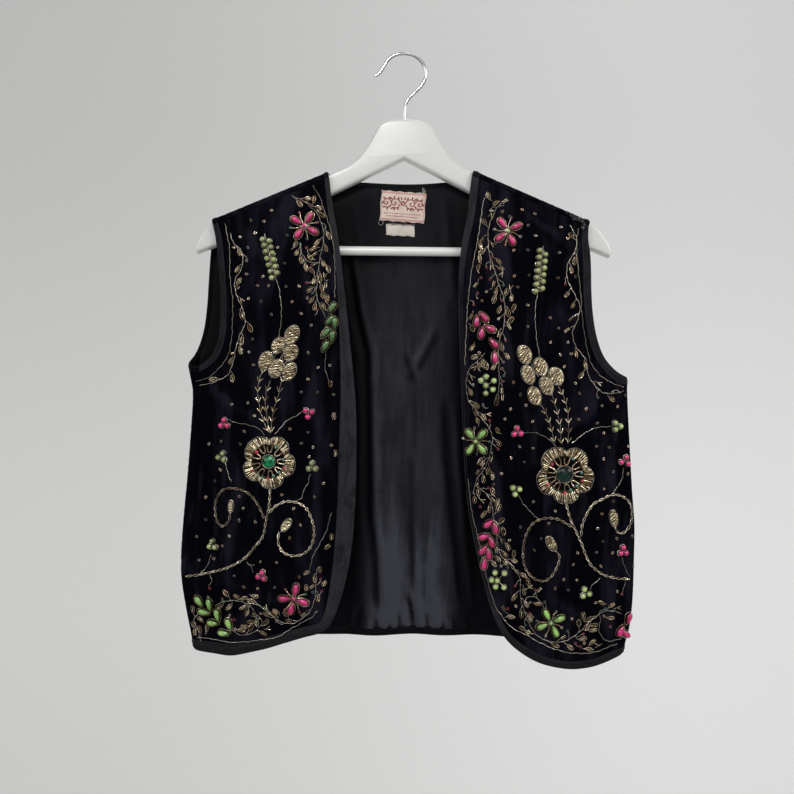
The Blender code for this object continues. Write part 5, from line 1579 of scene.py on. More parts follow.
# left front as it hangs, then the right one; petals are (x, z, angle), columns of beads
# (top x, z, lowest x, z, count), triples ((x, z, angle), bead), padded ovals (x, z, angle,
# half length, half width), and vines a line with the side of their first leaf
workTables = {
    leftSide: {
        "flowers": [(Petals(-102, -180.7, 4, 9.2, 57), (60, 148, 235, 330), "pink", "pink"),
                    (Petals(-108.4, -563.1, 4, 9.2, 80), (80, 180, 257, 340), "pink", "pink")],
        "petals": [("bandGreen",
                    [(-72.5, -265, 60), (-74.5, -278, 52), (-69.5, -281, 88), (-79, -291, 50),
                     (-72, -294.5, 85), (-79, -304.5, 62)]),
                   ("leafGreen",
                    [(-207.5, -568.4, 125), (-196, -572, 105), (-202.4, -580, 165), (-187, -582, 105),
                     (-192, -590.5, 178), (-175, -590.5, 112), (-180, -599.7, 180)])],
        "grapes": [(-142, -194, -131, -234, 13)],
        "triples": [((-182, -385, 90), "pink"), ((-95, -373, 20), "pink"), ((-184, -419, 70), "olive"),
                    ((-91, -428, 90), "olive"), ((-193, -510, 90), "olive"), ((-142, -541, 75), "pink")],
        "posies": [],
        "berries": [(-113.2, -293, 67, 10.2, 6.9), (-127.2, -304, 61, 8.8, 6.4),
                    (-114, -311.4, 67, 8.7, 6.8), (-140.2, -319.7, 66, 9.9, 6.6),
                    (-129.2, -327.6, 64, 9.7, 7.2), (-115.2, -330.6, 66, 9.6, 6.4)],
        "medallion": (Petals(-136.3, -423.4, 5, 28, 90), (88, 24, -44, -118, -182), "emerald", 6.6),
        "ropes": [[(-134, -450), (-135, -470), (-138, -484), (-141, -500), (-150, -512), (-160, -523),
                   (-174, -531), (-190, -537), (-207, -541), (-221, -543)],
                  [(-140, -482), (-147, -468), (-158, -456), (-171, -451), (-182, -453), (-189, -463),
                   (-190, -476), (-187, -487), (-181, -490), (-175.5, -484), (-174.5, -477)],
                  [(-135, -476), (-127, -468), (-117, -464), (-106, -465), (-96, -471), (-90, -483),
                   (-88, -496), (-91, -509), (-99, -517), (-110, -519), (-120, -515), (-125, -505),
                   (-124, -495)]],
        "endOvals": [(-174, -469.5, 85, 6.4, 2.3), (-117, -488, 55, 7.6, 3.9)],
        "borders": [[(-94, -139), (-87, -150), (-81, -167), (-75.5, -183), (-71.5, -205), (-70, -232),
                     (-70, -254)],
                    [(-84, -575), (-90, -582), (-97, -586), (-108, -592), (-116, -597), (-126, -603),
                     (-138, -606), (-155, -609), (-176, -609), (-194, -607), (-209, -606)],
                    [(-184, -179), (-179, -204), (-178, -234), (-175, -258), (-175, -278), (-176, -298),
                     (-180, -316), (-188, -327), (-199, -337), (-213, -342)]],
        "vines": [([(-116, -150), (-105, -154), (-96, -161), (-89, -168), (-83, -183), (-82, -194),
                    (-86, -217), (-88, -236), (-88, -255), (-79, -275)], 1),
                  ([(-85, -532), (-86, -549), (-87, -563), (-92, -576), (-106, -587), (-118, -588),
                    (-131, -581), (-144, -572), (-159, -569), (-172, -566), (-182, -568), (-190, -573)],
                   1),
                  ([(-178, -189), (-175, -199), (-167, -206), (-165, -214), (-166, -225), (-172, -235),
                    (-173, -245), (-170, -255), (-165, -266), (-162, -277), (-163, -285), (-168, -295),
                    (-172, -311), (-174, -322), (-180, -335), (-196, -343), (-209, -346)], -1),
                  ([(-106, -198), (-104, -210), (-96, -218), (-87, -219)], 1),
                  ([(-178, -592), (-163, -602), (-153, -601), (-146, -596), (-141, -588), (-148, -581),
                    (-154, -571)], 1), ([(-205, -610), (-208, -598), (-212, -588), (-206, -578)], 1)],
        "feathers": [
            [(-136, -394), (-143, -380), (-147, -362), (-148, -346), (-143, -329)],
            [(-135, -394), (-139, -376), (-140, -356), (-135, -340)],
            [(-134, -394), (-132, -374), (-127, -356), (-124, -343), (-120, -331), (-123, -317),
             (-119, -304)]],
        "stems": [[(-130, -236), (-126.4, -248), (-124.4, -266), (-124.4, -278), (-126, -290),
                   (-127.4, -297)], [(-118, -302.8), (-120.4, -306), (-122.6, -312.7), (-124.6, -318)],
                  [(-129, -312.2), (-132.5, -319)], [(-118.4, -319.5), (-121, -326), (-122, -331)],
                  [(-178, -381), (-168, -384), (-158, -386), (-148, -389), (-141, -396)],
                  [(-100, -371), (-108, -376), (-116, -380), (-130, -395)],
                  [(-181, -424), (-178, -434), (-174, -444)],
                  [(-93, -435), (-95, -444), (-100, -454), (-101, -459), (-107, -463)],
                  [(-194.6, -520), (-198.7, -531), (-206, -540)],
                  [(-158, -527), (-154, -532), (-151, -538)], [(-155.5, -530), (-149.5, -530)],
                  [(-197, -553), (-194, -547), (-196, -541)], [(-78, -309), (-79, -326), (-75, -340)],
                  [(-71, -474), (-76, -494), (-84, -509), (-90, -522), (-93, -537)]],
        "loose": [(-73.3, -346.1, 92), (-69.4, -379.7, 88), (-67, -417.3, 95), (-71.2, -502.8, 80),
                  (-77.2, -512, 38), (-82.5, -536.5, 85), (-98.3, -537.7, 30), (-79.8, -549.7, 48),
                  (-96, -555, 90)],
        "ringBeads": [
            (-196, -555, "red"), (-106, -200, "teal"), (-74, -324, "purlBead"), (-170, -586, "red"),
            (-89, -556, "teal")],
    },
    rightSide: {
        "flowers": [(Petals(106.8, -183.8, 4, 9.6, 33), (125, 28, 222, 295), "pink", "apple"),
                    (Petals(76.2, -400.4, 4, 9.2, 50), (48, 128, 236, 312), "leafGreen", "apple"),
                    (Petals(155.2, -586.3, 4, 9.6, 22), (118, 24, 298, 196), "leafGreen", "leafGreen")],
        "petals": [("pink",
                    [(76, -277, 265), (83.4, -272.4, 308), (81, -289, 262), (89.6, -284.5, 335),
                     (93.4, -299.5, 310), (94.8, -314, 275), (90.4, -484.3, 220), (97.2, -488.2, 284),
                     (86.2, -497.8, 196), (93.4, -502.8, 291), (85.4, -511, 228), (90.6, -515.2, 282),
                     (86.4, -525.4, 259), (236.4, -582, 72), (228.4, -594.4, 242), (233, -597.4, 325)])],
        "grapes": [(143, -204, 139, -246, 13)],
        "triples": [((118.3, -390.2, 95), "pink"), ((222, -383.5, 0), "apple"),
                    ((231, -419.3, 75), "pink"), ((117.5, -450, 20), "apple"),
                    ((229.6, -512.2, 90), "pink"), ((190.8, -555, 110), "apple")],
        "posies": [[(86, -334), (81, -338), (94, -338), (86, -343), (93, -347), (86, -351)],
                   [(97.4, -534.3), (106.8, -534.5), (94, -542), (99.8, -542.2), (98, -548.8),
                    (106.6, -548.8)]],
        "berries": [(125.2, -310.7, 110, 9.7, 6.9), (141.8, -322.8, 118, 9.3, 6.9),
                    (129, -331.4, 112, 9.7, 6.4), (158.4, -332.5, 118, 9.4, 7.1),
                    (148.3, -342.5, 116, 9.4, 6.7), (135.7, -352.8, 112, 9.4, 6.7)],
        "medallion": (Petals(168.4, -433.6, 5, 30.2, 54), (86, 22, -50, -120, -194), "seaGreen", 8.3),
        "ropes": [[(170.4, -463.8), (175, -479.5), (180.5, -491.7), (186.8, -505.7), (190.4, -516),
                   (196.6, -526.6), (209, -536), (224.8, -540.2), (237, -541)],
                  [(176.8, -487.4), (161, -479.6), (147, -478.9), (136.5, -482.5), (129.6, -492.2),
                   (126.2, -504.5), (125.5, -518.6), (128.2, -529.1), (135.3, -538.6), (146, -542.9),
                   (154.6, -539.3), (161.6, -528.7), (164.1, -519), (161.6, -513.5)],
                  [(185.8, -496.9), (186.5, -486.4), (190.8, -474.1), (197.8, -463.5), (208.2, -457.2),
                   (218.8, -453.6), (230.8, -457), (237.2, -464.8), (238.6, -477.1), (235.6, -487.6),
                   (228.6, -493.8), (222, -491.3), (220.2, -487)]],
        "endOvals": [(155.2, -505, 122, 8.6, 4.3), (219, -478.2, 100, 8.8, 4.3)],
        "loose": [],
        "frayed": [(168.5, -165), (172.5, -167), (176, -170), (179.5, -171), (183, -174), (186, -176.5),
                   (184.5, -180)],
        "borders": [[(84, -146), (81, -158), (78, -182), (74, -206), (70.5, -224), (68, -247),
                     (66.5, -264), (65.5, -289), (64.6, -312), (64.4, -322)],
                    [(69, -439), (73, -472), (80, -500), (88, -536), (97, -566), (104, -578), (116, -591),
                     (125, -595), (134, -600), (144, -606), (159, -613), (176, -617), (200, -616),
                     (213, -612), (225, -608)],
                    [(180, -180), (178, -193), (180, -223), (183, -251), (184, -266), (187, -288),
                     (193, -315), (200, -327), (213, -337), (229, -343)]],
        "vines": [([(103, -157), (95, -160), (93, -167), (89, -174), (87, -185), (87, -196), (89, -211),
                    (92, -218), (96, -231), (100, -243), (104, -255), (105, -270), (103, -286),
                    (99, -298), (99, -327), (99, -348), (95, -357)], -1),
                  ([(85, -310), (77, -318), (68, -328), (66, -347), (69, -359), (76, -368), (82, -377),
                    (90, -387), (93, -400), (87, -425), (78, -439), (74, -454)], 1),
                  ([(78, -447), (88, -454), (94, -467), (95, -480), (99, -500), (102, -515), (110, -523),
                    (117, -529)], 1),
                  ([(108, -520), (117, -530), (123, -541), (123, -557), (127, -573), (134, -589),
                    (142, -599), (153, -605), (167, -606), (178, -601), (187, -593), (196, -583),
                    (207, -575), (217, -573), (229, -577)], -1),
                  ([(171, -177), (178, -191), (177, -203), (170, -215), (168, -228), (172, -240),
                    (178, -251), (182, -261), (180, -274), (175, -287), (177, -299), (184, -309),
                    (190, -317), (191, -329), (196, -338), (204, -347), (216, -350), (229, -347)], 1),
                  ([(127, -565), (131, -559), (138, -559), (145, -565), (150, -573)], 1)],
        "feathers": [
            [(158, -402), (154, -387), (148, -371), (138, -356)],
            [(165, -403), (163, -383), (159, -366), (154, -350)],
            [(172, -402), (172, -382), (170, -364), (166, -353), (161, -343)]],
        "stems": [[(204.7, -576.3), (205.8, -583.4), (204.9, -593.6), (210.1, -602.2), (218.2, -605.2),
                   (228.9, -602), (234.9, -594.8)],
                  [(138, -248), (136, -264), (136.2, -277.5), (138, -297), (141.5, -314)],
                  [(132, -319.5), (134.3, -325), (139.5, -333.5)], [(147.6, -330), (152.6, -337)],
                  [(124.5, -390.6), (136.8, -391), (145.6, -394), (152.6, -398.4), (159.7, -404.5)],
                  [(216.4, -383.6), (203.3, -384.7), (192.8, -388.3), (183.2, -395.4), (175.6, -401)],
                  [(229.6, -426.3), (229, -435), (224.8, -444), (216, -453.6)],
                  [(120.2, -454.7), (126, -464.2), (133, -472), (140, -478.2)],
                  [(228.8, -518.4), (231.6, -528), (237, -538.4)],
                  [(195.4, -551.1), (196.8, -546.7), (205.4, -539.6)],
                  [(233.4, -543.7), (230.8, -550.8), (229.8, -555)]],
        "ringBeads": [
            (81.6, -467.3, "red"), (110.4, -571, "red"), (186.4, -610.3, "red"), (216.4, -589.5, "red"),
            (229.2, -557, "red"), (109, -169, "teal"), (80, -232, "red")],
    },
}


# beads round the jewel: finish, angle and share of the medallion's reach
medallionBeads = [
    ("red", 209, 0.7), ("red", -19, 0.64), ("red", -89, 0.64), ("red", 142, 0.56), ("teal", 185, 0.68),
    ("teal", 232, 0.64), ("teal", 249, 0.65), ("teal", 7, 0.57), ("teal", -43, 0.56), ("teal", -68, 0.56),
    ("teal", 62, 0.6),
]


def smoothPath(points, step):
    # even places along a smooth line through the points
    dense = smoothRows([(u, v, 0) for u, v in points], 12)
    path, run = [(dense[0].x, dense[0].z)], 0
    for a, b in zip(dense, dense[1:]):
        run += math.dist(a[:2], b[:2])
        if run >= step:
            path.append((b.x, b.z))
            run = 0
    if math.dist(path[-1], (dense[-1].x, dense[-1].z)) > 0.3 * step:
        path.append((dense[-1].x, dense[-1].z))
    return path


def turned(u, v, degrees, a, b):
    # place that is a along and b to the left of a direction
    turn = math.radians(degrees)
    return u + a * math.cos(turn) - b * math.sin(turn), v + a * math.sin(turn) + b * math.cos(turn)


def heading(a, b):
    return math.degrees(math.atan2(b[1] - a[1], b[0] - a[0]))


class Needlework:
    # collects the stitches and beads of one front
    def __init__(self, side, outline):
        self.side = side
        self.word = "left" if side == leftSide else "right"
        self.cloth = ClothMap("front" + self.word.capitalize(), 0)
        self.outline = outline
        self.chance = random.Random(19 + side)
        self.rods, self.cords, self.ropes, self.pads, self.curls = [], [], [], [], []
        self.rings, self.drops, self.balls, self.threads = {}, {}, {}, []
        self.taken = []

    def near(self, low, high):
        return self.chance.uniform(low, high)

    def onCloth(self, u, v, margin):
        if not inside(self.outline, u, v):
            return False
        return all(math.hypot(u - a, v - b) > margin for a, b in self.outline)

    def free(self, u, v, reach, margin=3.2):
        return self.onCloth(u, v, margin) and all(
            math.hypot(u - a, v - b) > reach + r for a, b, r in self.taken)

    def take(self, u, v, reach):
        self.taken.append((u, v, reach))

    def takeAlong(self, points, step, reach):
        for u, v in smoothPath(points, step):
            self.take(u, v, reach)

    def spot(self, u, v, lift, degrees, size, tint=None):
        place, along, outward = self.cloth.lay(u, v, lift, degrees)
        tint = self.near(0, 1) if tint is None else tint
        return place, along, outward, [number * mm for number in size], tint

    def rod(self, u, v, degrees, length, width=None, lift=0.5, tint=None):
        half = 0.5 * (width or needle["rodWidth"])
        self.rods.append(self.spot(u, v, lift, degrees, (0.5 * length, half, half), tint))

    def ring(self, finish, u, v, degrees, halfLong, halfWide, lift=0.45, high=None):
        size = (halfLong, halfWide, high or halfWide)
        self.rings.setdefault(finish, []).append(self.spot(u, v, lift, degrees, size))

    def beadRing(self, u, v, half):
        self.ring("purlBead", u, v, 0, half, half, 0.3, needle["beadRingHigh"])

    def ball(self, finish, u, v, radius, lift=None):
        lift = 0.72 * radius if lift is None else lift
        size = (radius, radius, 0.86 * radius)
        self.balls.setdefault(finish, []).append(
            self.spot(u, v, lift, self.near(0, 360), size))

    def drop(self, finish, u, v, degrees, halfLong, halfWide, high):
        self.drops.setdefault(finish, []).append(
            self.spot(u, v, 0.62 * high, degrees, (halfLong, halfWide, high)))

    def strand(self, points, radius, lift=0.4, kink=None, smooth=True, into=None):
        # radius in mm; the path swells and wanders a little, as couched cord does
        path = smoothPath(points, needle["pathStep"]) if smooth else points
        kink = needle["kink"] if kink is None else kink
        a, b = self.near(0, 6.28), self.near(0, 6.28)
        laid, run = [], 0
        for i, (u, v) in enumerate(path):
            before, after = path[max(0, i - 1)], path[min(len(path) - 1, i + 1)]
            run += math.dist(before, (u, v))
            du, dv = after[0] - before[0], after[1] - before[1]
            size = math.hypot(du, dv) or 1
            sway = kink * (math.sin(run / 1.45 + a) + 0.7 * math.sin(run / 2.9 + b))
            place, along, outward = self.cloth.lay(u - dv / size * sway, v + du / size * sway, lift)
            laid.append((place, radius * (1 + 0.16 * math.sin(run * 2.2 + b)), outward))
        (self.cords if into is None else into).append(laid)

    def rope(self, points, lift=1.15):
        laid = []
        for u, v in smoothPath(points, 1.2):
            place, along, outward = self.cloth.lay(u, v, lift)
            laid.append((place, 1, outward))
            self.take(u, v, 2.6)
        self.ropes.append(laid)

    def leaf(self, u, v, degrees, size=1, bars=1):
        # two bent lengths of purl, open in the middle, round one or two straight ones
        long = needle["leafLong"] * size * self.near(0.92, 1.08)
        bow = needle["leafWide"] * size * self.near(0.75, 1.15)
        for side in (-1, 1):
            bend = [turned(u, v, degrees, long * t,
                           side * (0.5 + bow * math.sin(math.pi * t) ** 0.85))
                    for t in (0, 0.2, 0.5, 0.8, 1)]
            self.strand(bend, 0.43 * needle["rodWidth"], lift=0.5, kink=0.03, into=self.curls)
        for i in range(bars):
            gap = (i - 0.5 * (bars - 1)) * needle["barGap"]
            start = (0.48 + self.near(-0.04, 0.08)) * long
            self.rod(*turned(u, v, degrees, start, gap), degrees + self.near(-4, 4), 0.66 * long,
                     needle["barWidth"])
        for far in (0.25, 0.75):
            self.take(*polar(u, v, far * long, degrees), 1.75 * size)

    def room(self, u, v, degrees, size, margin):
        return all(self.free(*polar(u, v, far * size, degrees), 1.5, margin)
                   for far in needle["twigRooms"])

    def twig(self, u, v, degrees, margin=3.2):
        # leaf or bead at the end of a stem; returns whether there was room
        size = self.near(0.84, 1.08)
        if not self.room(u, v, degrees, size, margin):
            return False
        kind = self.chance.random()
        if kind < 0.16:
            bead = self.chance.choice(("red", "red", "teal", "purlBead"))
            tip = polar(u, v, 4.2, degrees + self.near(-30, 30))
            self.strand([(u, v), polar(u, v, 2, degrees), tip], needle["stemRadius"], kink=0.1)
            self.ring(bead, *tip, degrees, *needle["ringBead"])
            self.take(*polar(u, v, 3, degrees), 2.6)
        elif kind < 0.28:
            for side in (-1, 1):
                self.rod(*polar(u, v, 3.4, degrees + side * 17), degrees + side * 20, 5.6)
            self.take(*polar(u, v, 4, degrees), 3.2)
        elif kind < 0.4:
            for side in (-1, 1):
                a, b = polar(0, 0, 0.85 * side, degrees + 90)
                self.rod(*polar(u + a, v + b, 4.2, degrees), degrees + self.near(-5, 5), 6.6)
            self.take(*polar(u, v, 4, degrees), 3)
        else:
            self.leaf(u, v, degrees, size, 2 if kind > 0.86 else 1)
        return True

    def sprig(self, u, v, degrees, side):
        # bent stem off a vine with a leaf at its end
        out = degrees + side * self.near(38, 74)
        last = out - side * self.near(8, 62)
        knee = polar(u, v, self.near(2, 3.6), out)
        tip = polar(*knee, self.near(1.2, 2.6), last)
        if not self.twig(*tip, last + self.near(-8, 8)):
            return False
        self.strand([(u, v), knee, tip], needle["stemRadius"], kink=0.1)
        return True

    def byArmhole(self, u, v):
        return abs(u) > needle["armFrom"] and v > needle["armLow"]

    def vine(self, points, side):
        path = smoothPath(points, needle["pathStep"])
        self.strand(path, needle["vineRadius"], smooth=False)
        for u, v in path:
            self.take(u, v, 0.3)
        run, gap = 0, 3
        for i in range(1, len(path) - 1):
            run += math.dist(path[i - 1], path[i])
            if run < gap:
                continue
            run, gap = 0, needle["leafEvery"] * self.near(0.75, 1.3)
            if self.byArmhole(*path[i]):
                gap /= needle["armShare"]
            side = -side
            towards = heading(path[i - 1], path[i + 1])
            if not self.sprig(*path[i], towards, side):
                if not self.sprig(*path[i], towards + 180, side):
                    self.sprig(*path[i], towards, -side)

    def fill(self, points):
        # loose twigs in the gaps beside a vine or a border
        path, run = smoothPath(points, needle["pathStep"]), 0
        for i in range(1, len(path) - 1):
            run += math.dist(path[i - 1], path[i])
            if run < needle["fillEvery"] or self.byArmhole(*path[i]):
                continue
            run = 0
            towards = heading(path[i - 1], path[i + 1])
            for side in (-1, 1):
                start = polar(*path[i], self.near(3, needle["fillReach"]), towards + 90 * side)
                lean = towards + self.chance.choice((0, 180)) + self.near(-50, 50)
                if self.twig(*start, lean, 8):
                    back = polar(*start, self.near(2, 3.6), lean + 180 + side * 40)
                    if self.onCloth(*back, 2.6):
                        self.strand([back, start], needle["stemRadius"], kink=0.05, smooth=False)

    def dropLoop(self, u, v, degrees, halfLong, halfWide, gap=0.9):
        # a thin cord round a drop-shaped bead
        points = []
        for i in range(19):
            a, b = polar(0, 0, 1, 20 * i)
            points.append(turned(u, v, degrees, (halfLong + gap) * a,
                                 (halfWide + gap) * b * (0.84 + 0.24 * a)))
        self.strand(points, 0.26, lift=0.3, kink=0.1, smooth=False, into=self.curls)

    def flower(self, row, angles, finish, centre):
        for angle in angles:
            u, v = polar(row.x, row.z, row.reach + self.near(-0.3, 0.5), angle)
            self.drop(finish, u, v, angle, needle["petalLong"], needle["petalWide"],
                      needle["petalHigh"])
            self.dropLoop(u, v, angle, needle["petalLong"], needle["petalWide"])
            stalk = angle + 180 / row.count + self.near(-8, 8)
            tip = polar(row.x, row.z, self.near(12.6, 15), stalk)
            self.strand([polar(row.x, row.z, 3.4, stalk), polar(row.x, row.z, 8, stalk + 6), tip],
                        0.42, kink=0.15, into=self.curls)
            self.ring(self.chance.choice(("red", "teal", "purlBead")), *tip, stalk, *needle["ringBead"])
        self.ball(centre, row.x, row.z, 2.2)
        self.ring("purlBead", row.x, row.z, 0, 3.1, 3.1, 0.4, 1.8)
        self.take(row.x, row.z, row.reach + 6.8)

    def petals(self, finish, rows):
        for u, v, degrees in rows:
            self.drop(finish, u, v, degrees, needle["petalLong"] - 0.2, needle["petalWide"],
                      needle["petalHigh"])
            self.dropLoop(u, v, degrees, needle["petalLong"] - 0.2, needle["petalWide"])
            self.take(u, v, 5.4)

    def grape(self, xTop, zTop, xLow, zLow, count):
        run = heading((xTop, zTop), (xLow, zLow))
        self.strand([polar(xTop, zTop, 5, run + 180), (xTop, zTop), (xLow, zLow)], 0.4, kink=0.1)
        for i in range(count):
            t = i / (count - 1)
            u, v = mix(xTop, xLow, t), mix(zTop, zLow, t)
            side = 90 if i % 2 else -90
            self.ball("olive", *polar(u, v, 3.3, run + side), needle["bead"] * self.near(0.93, 1.03))
            self.rod(*polar(u, v, 0.9, run - side), run + side * 0.5, 2.4, 0.9, 0.6)
            self.beadRing(*polar(u, v, 3.3, run + side), needle["beadRing"] - 0.1)
            self.take(u, v, 7)

    def triple(self, place, finish):
        x, z, turn = place
        for i in range(3):
            u, v = polar(x, z, 3.9, turn + 120 * i)
            self.ball(finish, u, v, needle["bead"] * self.near(0.92, 1))
            self.strand([(x, z), (u, v)], needle["rimRadius"], kink=0, smooth=False)
            self.beadRing(u, v, needle["beadRing"] + 0.1)
        self.take(x, z, 8)

    def posy(self, places):
        for u, v in places:
            self.ball("apple", u, v, needle["bead"] * self.near(0.92, 1.03))
            self.beadRing(u, v, needle["beadRing"])
            self.take(u, v, 4.4)
        middle = places[3]
        for u, v in places:
            self.strand([middle, (u, v)], needle["rimRadius"], kink=0, smooth=False)

    def berry(self, u, v, degrees, halfLong, halfWide, high=2.2):
        # padded oval under crosswise purl, broken like basket work
        rows = round(needle["berryRows"] * halfLong / needle["berryHalf"])
        self.pads.append(self.spot(u, v, 0, degrees, (halfLong, halfWide, high), 0.1))
        for i in range(rows):
            a = mix(-0.92, 0.92, i / (rows - 1)) * halfLong
            half = halfWide * math.sqrt(max(0, 1 - (a / halfLong) ** 2))
            count = max(1, round(half / 2.3))
            breaks = [k / count for k in range(count + 1)]
            shift = (0.5 if i % 2 else -0.5) * 0.5 / count if count > 1 else 0
            for k in range(count):
                low = breaks[k] + (shift if k else 0)
                top = breaks[k + 1] + (shift if k < count - 1 else 0)
                b = (low + top - 1) * half
                share = (a / halfLong) ** 2 + (b / halfWide) ** 2
                lift = high * math.sqrt(max(0.05, 1 - min(1, share))) + 0.25
                self.rod(*turned(u, v, degrees, a, b), degrees + 90 + self.near(4, 16),
                         (top - low) * 2 * half * 1.02, needle["ovalRod"], lift,
                         self.near(0.1, 1))
        rim = [polar(0, 0, 1, 20 * i) for i in range(19)]
        self.strand([turned(u, v, degrees, (halfLong + 0.4) * a, (halfWide + 0.4) * b)
                     for a, b in rim], needle["rimRadius"], kink=0.05, smooth=False)
        self.ball("purlBead", *polar(u, v, halfLong + 0.8, degrees + 180), 0.8, 0.9)
        self.take(u, v, 0.9 * halfLong)

    def lobe(self, notches, angle):
        # share of the full reach: round lobes that meet in sharp notches
        turns = sorted(notch % 360 for notch in notches)
        angle %= 360
        below = max([t for t in turns if t <= angle] or [turns[-1] - 360])
        above = min([t for t in turns if t > angle] or [turns[0] + 360])
        share = (angle - below) / (above - below)
        return 0.78 + 0.22 * (1 - abs(2 * share - 1) ** 2.6)

    def medallion(self, row, notches, jewelFinish, jewelRadius):
        count = needle["medallionRods"]
        for i in range(count):
            angle = 360 * i / count + self.near(-1, 1)
            outer = row.reach * 0.975 * self.lobe(notches, angle)
            inner = row.reach * (0.625 + self.near(-0.015, 0.02))
            cut = mix(inner, outer, self.near(0.36, 0.64))
            runs = ((inner, outer),) if i % 3 else ((inner, cut - 0.1), (cut + 0.1, outer))
            for low, top in runs:
                middle = 0.5 * (low + top)
                share = (middle - inner) / (outer - inner)
                self.rod(*polar(row.x, row.z, middle, angle), angle + self.near(-3, 3), top - low,
                         needle["medallionRod"],
                         0.5 + 1.8 * math.sin(math.pi * min(0.9, max(0.12, share))),
                         self.near(0, 1))
            if i % 2 == 0:
                middle = outer - 2.4
                self.rod(*polar(row.x, row.z, middle, angle + 180 / count), angle, 4.8, 1.1, 1.1)
        rim = [polar(row.x, row.z, row.reach * self.lobe(notches, 3 * i), 3 * i)
               for i in range(121)]
        self.strand(rim, needle["rimRadius"], kink=0.1, smooth=False)
        loops = needle["loops"]
        for i in range(loops):
            angle = 360 * (i + self.near(-0.12, 0.12)) / loops
            loop = [polar(row.x, row.z, r * row.reach, angle + t) for r, t in
                    ((0.62, -9.5), (0.46, -10), (0.36, -8), (0.33, 0), (0.36, 8),
                     (0.46, 10), (0.62, 9.5))]
            self.strand(loop, needle["loopRadius"], lift=0.8, kink=0.04, into=self.curls)
        for finish, angle, share in medallionBeads:
            self.ball(finish, *polar(row.x, row.z, share * row.reach, angle),
                      2 if finish == "red" else 1.7, 1.1)
        self.balls.setdefault(jewelFinish, []).append(
            self.spot(row.x, row.z, 0.6, 0, (jewelRadius, jewelRadius, needle["jewelHigh"]),
                      0.5))
        self.strand([polar(row.x, row.z, jewelRadius + 0.5, 12 * i) for i in range(31)], 0.5,
                    lift=0.7, kink=0, smooth=False)
        self.take(row.x, row.z, row.reach + 2)

    def feather(self, points):
        path = smoothPath(points, needle["pathStep"])
        self.strand(path, needle["vineRadius"], smooth=False)
        run = 8
        for i in range(1, len(path) - 2):
            run += math.dist(path[i - 1], path[i])
            if run >= needle["featherEvery"]:
                run = 0
                towards = heading(path[i], path[i + 1])
                for side in (-1, 1):
                    self.rod(*polar(*path[i], 2.9, towards + side * 36), towards + side * 30,
                             5.8, 1.05)
        for u, v in path[::3]:
            self.take(u, v, 3.6)

    def seeds(self):
        # little oval rings over the ground, on a loose staggered grid
        step, rowNumber = needle["seedEvery"], 0
        v = -150
        while v > -612:
            for column in range(-17, 18):
                u = (column + 0.5 * (rowNumber % 2)) * step + self.near(-2.6, 2.6)
                w = v + self.near(-2.6, 2.6)
                if self.chance.random() > needle["seedShare"]:
                    continue
                if u * self.side > 0 and self.free(u, w, 2.4, 8.5):
                    self.ring("purlRing", u, w, self.near(0, 180),
                              needle["seedLong"] * self.near(0.85, 1.12), needle["seedWide"],
                              0.4, 1.3)
                    self.take(u, w, 2.4)
            v -= 0.84 * step
            rowNumber += 1

    def work(self, table):
        self.medallion(*table["medallion"])
        for row in table["flowers"]:
            self.flower(*row)
        for row in table["grapes"]:
            self.grape(*row)
        for row in table["triples"]:
            self.triple(*row)
        for places in table["posies"]:
            self.posy(places)
        for row in table["berries"]:
            self.berry(*row)
        for points in table["ropes"]:
            self.rope(points)
        for row in table["endOvals"]:
            self.berry(*row, 1.4)
        for finish, rows in table["petals"]:
            self.petals(finish, rows)
        for points in table["feathers"]:
            self.feather(points)
        for u, v, finish in table["ringBeads"]:
            self.ring(finish, u, v, 0, 1.7, 1.6, 0.7)
            self.take(u, v, 1.8)
        for points in table["borders"]:
            self.strand(points, needle["borderRadius"])
            self.takeAlong(points, 3, 0.4)
        for points in table["stems"]:
            self.strand(points, needle["stemRadius"])
            self.takeAlong(points, 3, 1.4)
        for u, v in table.get("frayed", ()):
            # dark loops and grey ends of the shoulder seam's thread
            for i in range(2):
                bend = [(u + self.near(-2.6, 2.6), v + self.near(-2.2, 2.4)) for k in range(5)]
                self.strand(bend + bend[:1], 0.42, self.near(0.8, 2), 0.1, into=self.threads)
            self.strand([(u, v), (u + self.near(-1.4, 1.4), v + self.near(0.6, 1.6))],
                        needle["rimRadius"], 1.6)
        for u, v, degrees in table["loose"]:
            self.leaf(u, v, degrees, 0.85)
        for points, side in table["vines"]:
            self.vine(points, side)
        for points in [points for points, side in table["vines"]] + table["borders"]:
            self.fill(points)
        self.seeds()

    def padRing(self):
        # padding under the medallion's purl, as a lobed ring
        row, notches = workTables[self.side]["medallion"][:2]
        count, profile = 80, ((0.52, 0), (0.58, 0.5), (0.66, 1.4), (0.76, 1.9), (0.86, 1.6),
                              (0.94, 0.8), (0.99, 0))
        verts, faces = [], []
        for i in range(count):
            angle = 360 * i / count
            for share, lift in profile:
                reach = row.reach * share * (1 if share < 0.6 else self.lobe(notches, angle))
                verts.append(self.cloth.lay(*polar(row.x, row.z, reach, angle), lift)[0])
        width = len(profile)
        for i in range(count):
            after = (i + 1) % count
            for k in range(width - 1):
                faces.append((i * width + k, i * width + k + 1, after * width + k + 1,
                              after * width + k))
            faces.append((i * width + width - 1, i * width, after * width, after * width + width - 1))
        return closedMesh("gold_ring_pad_" + self.word, verts, faces)

    def make(self):
        def growAll(name, mesh, tree, values, finish):
            grow("%s_%s" % (name, self.word), mesh, tree, values, finish)

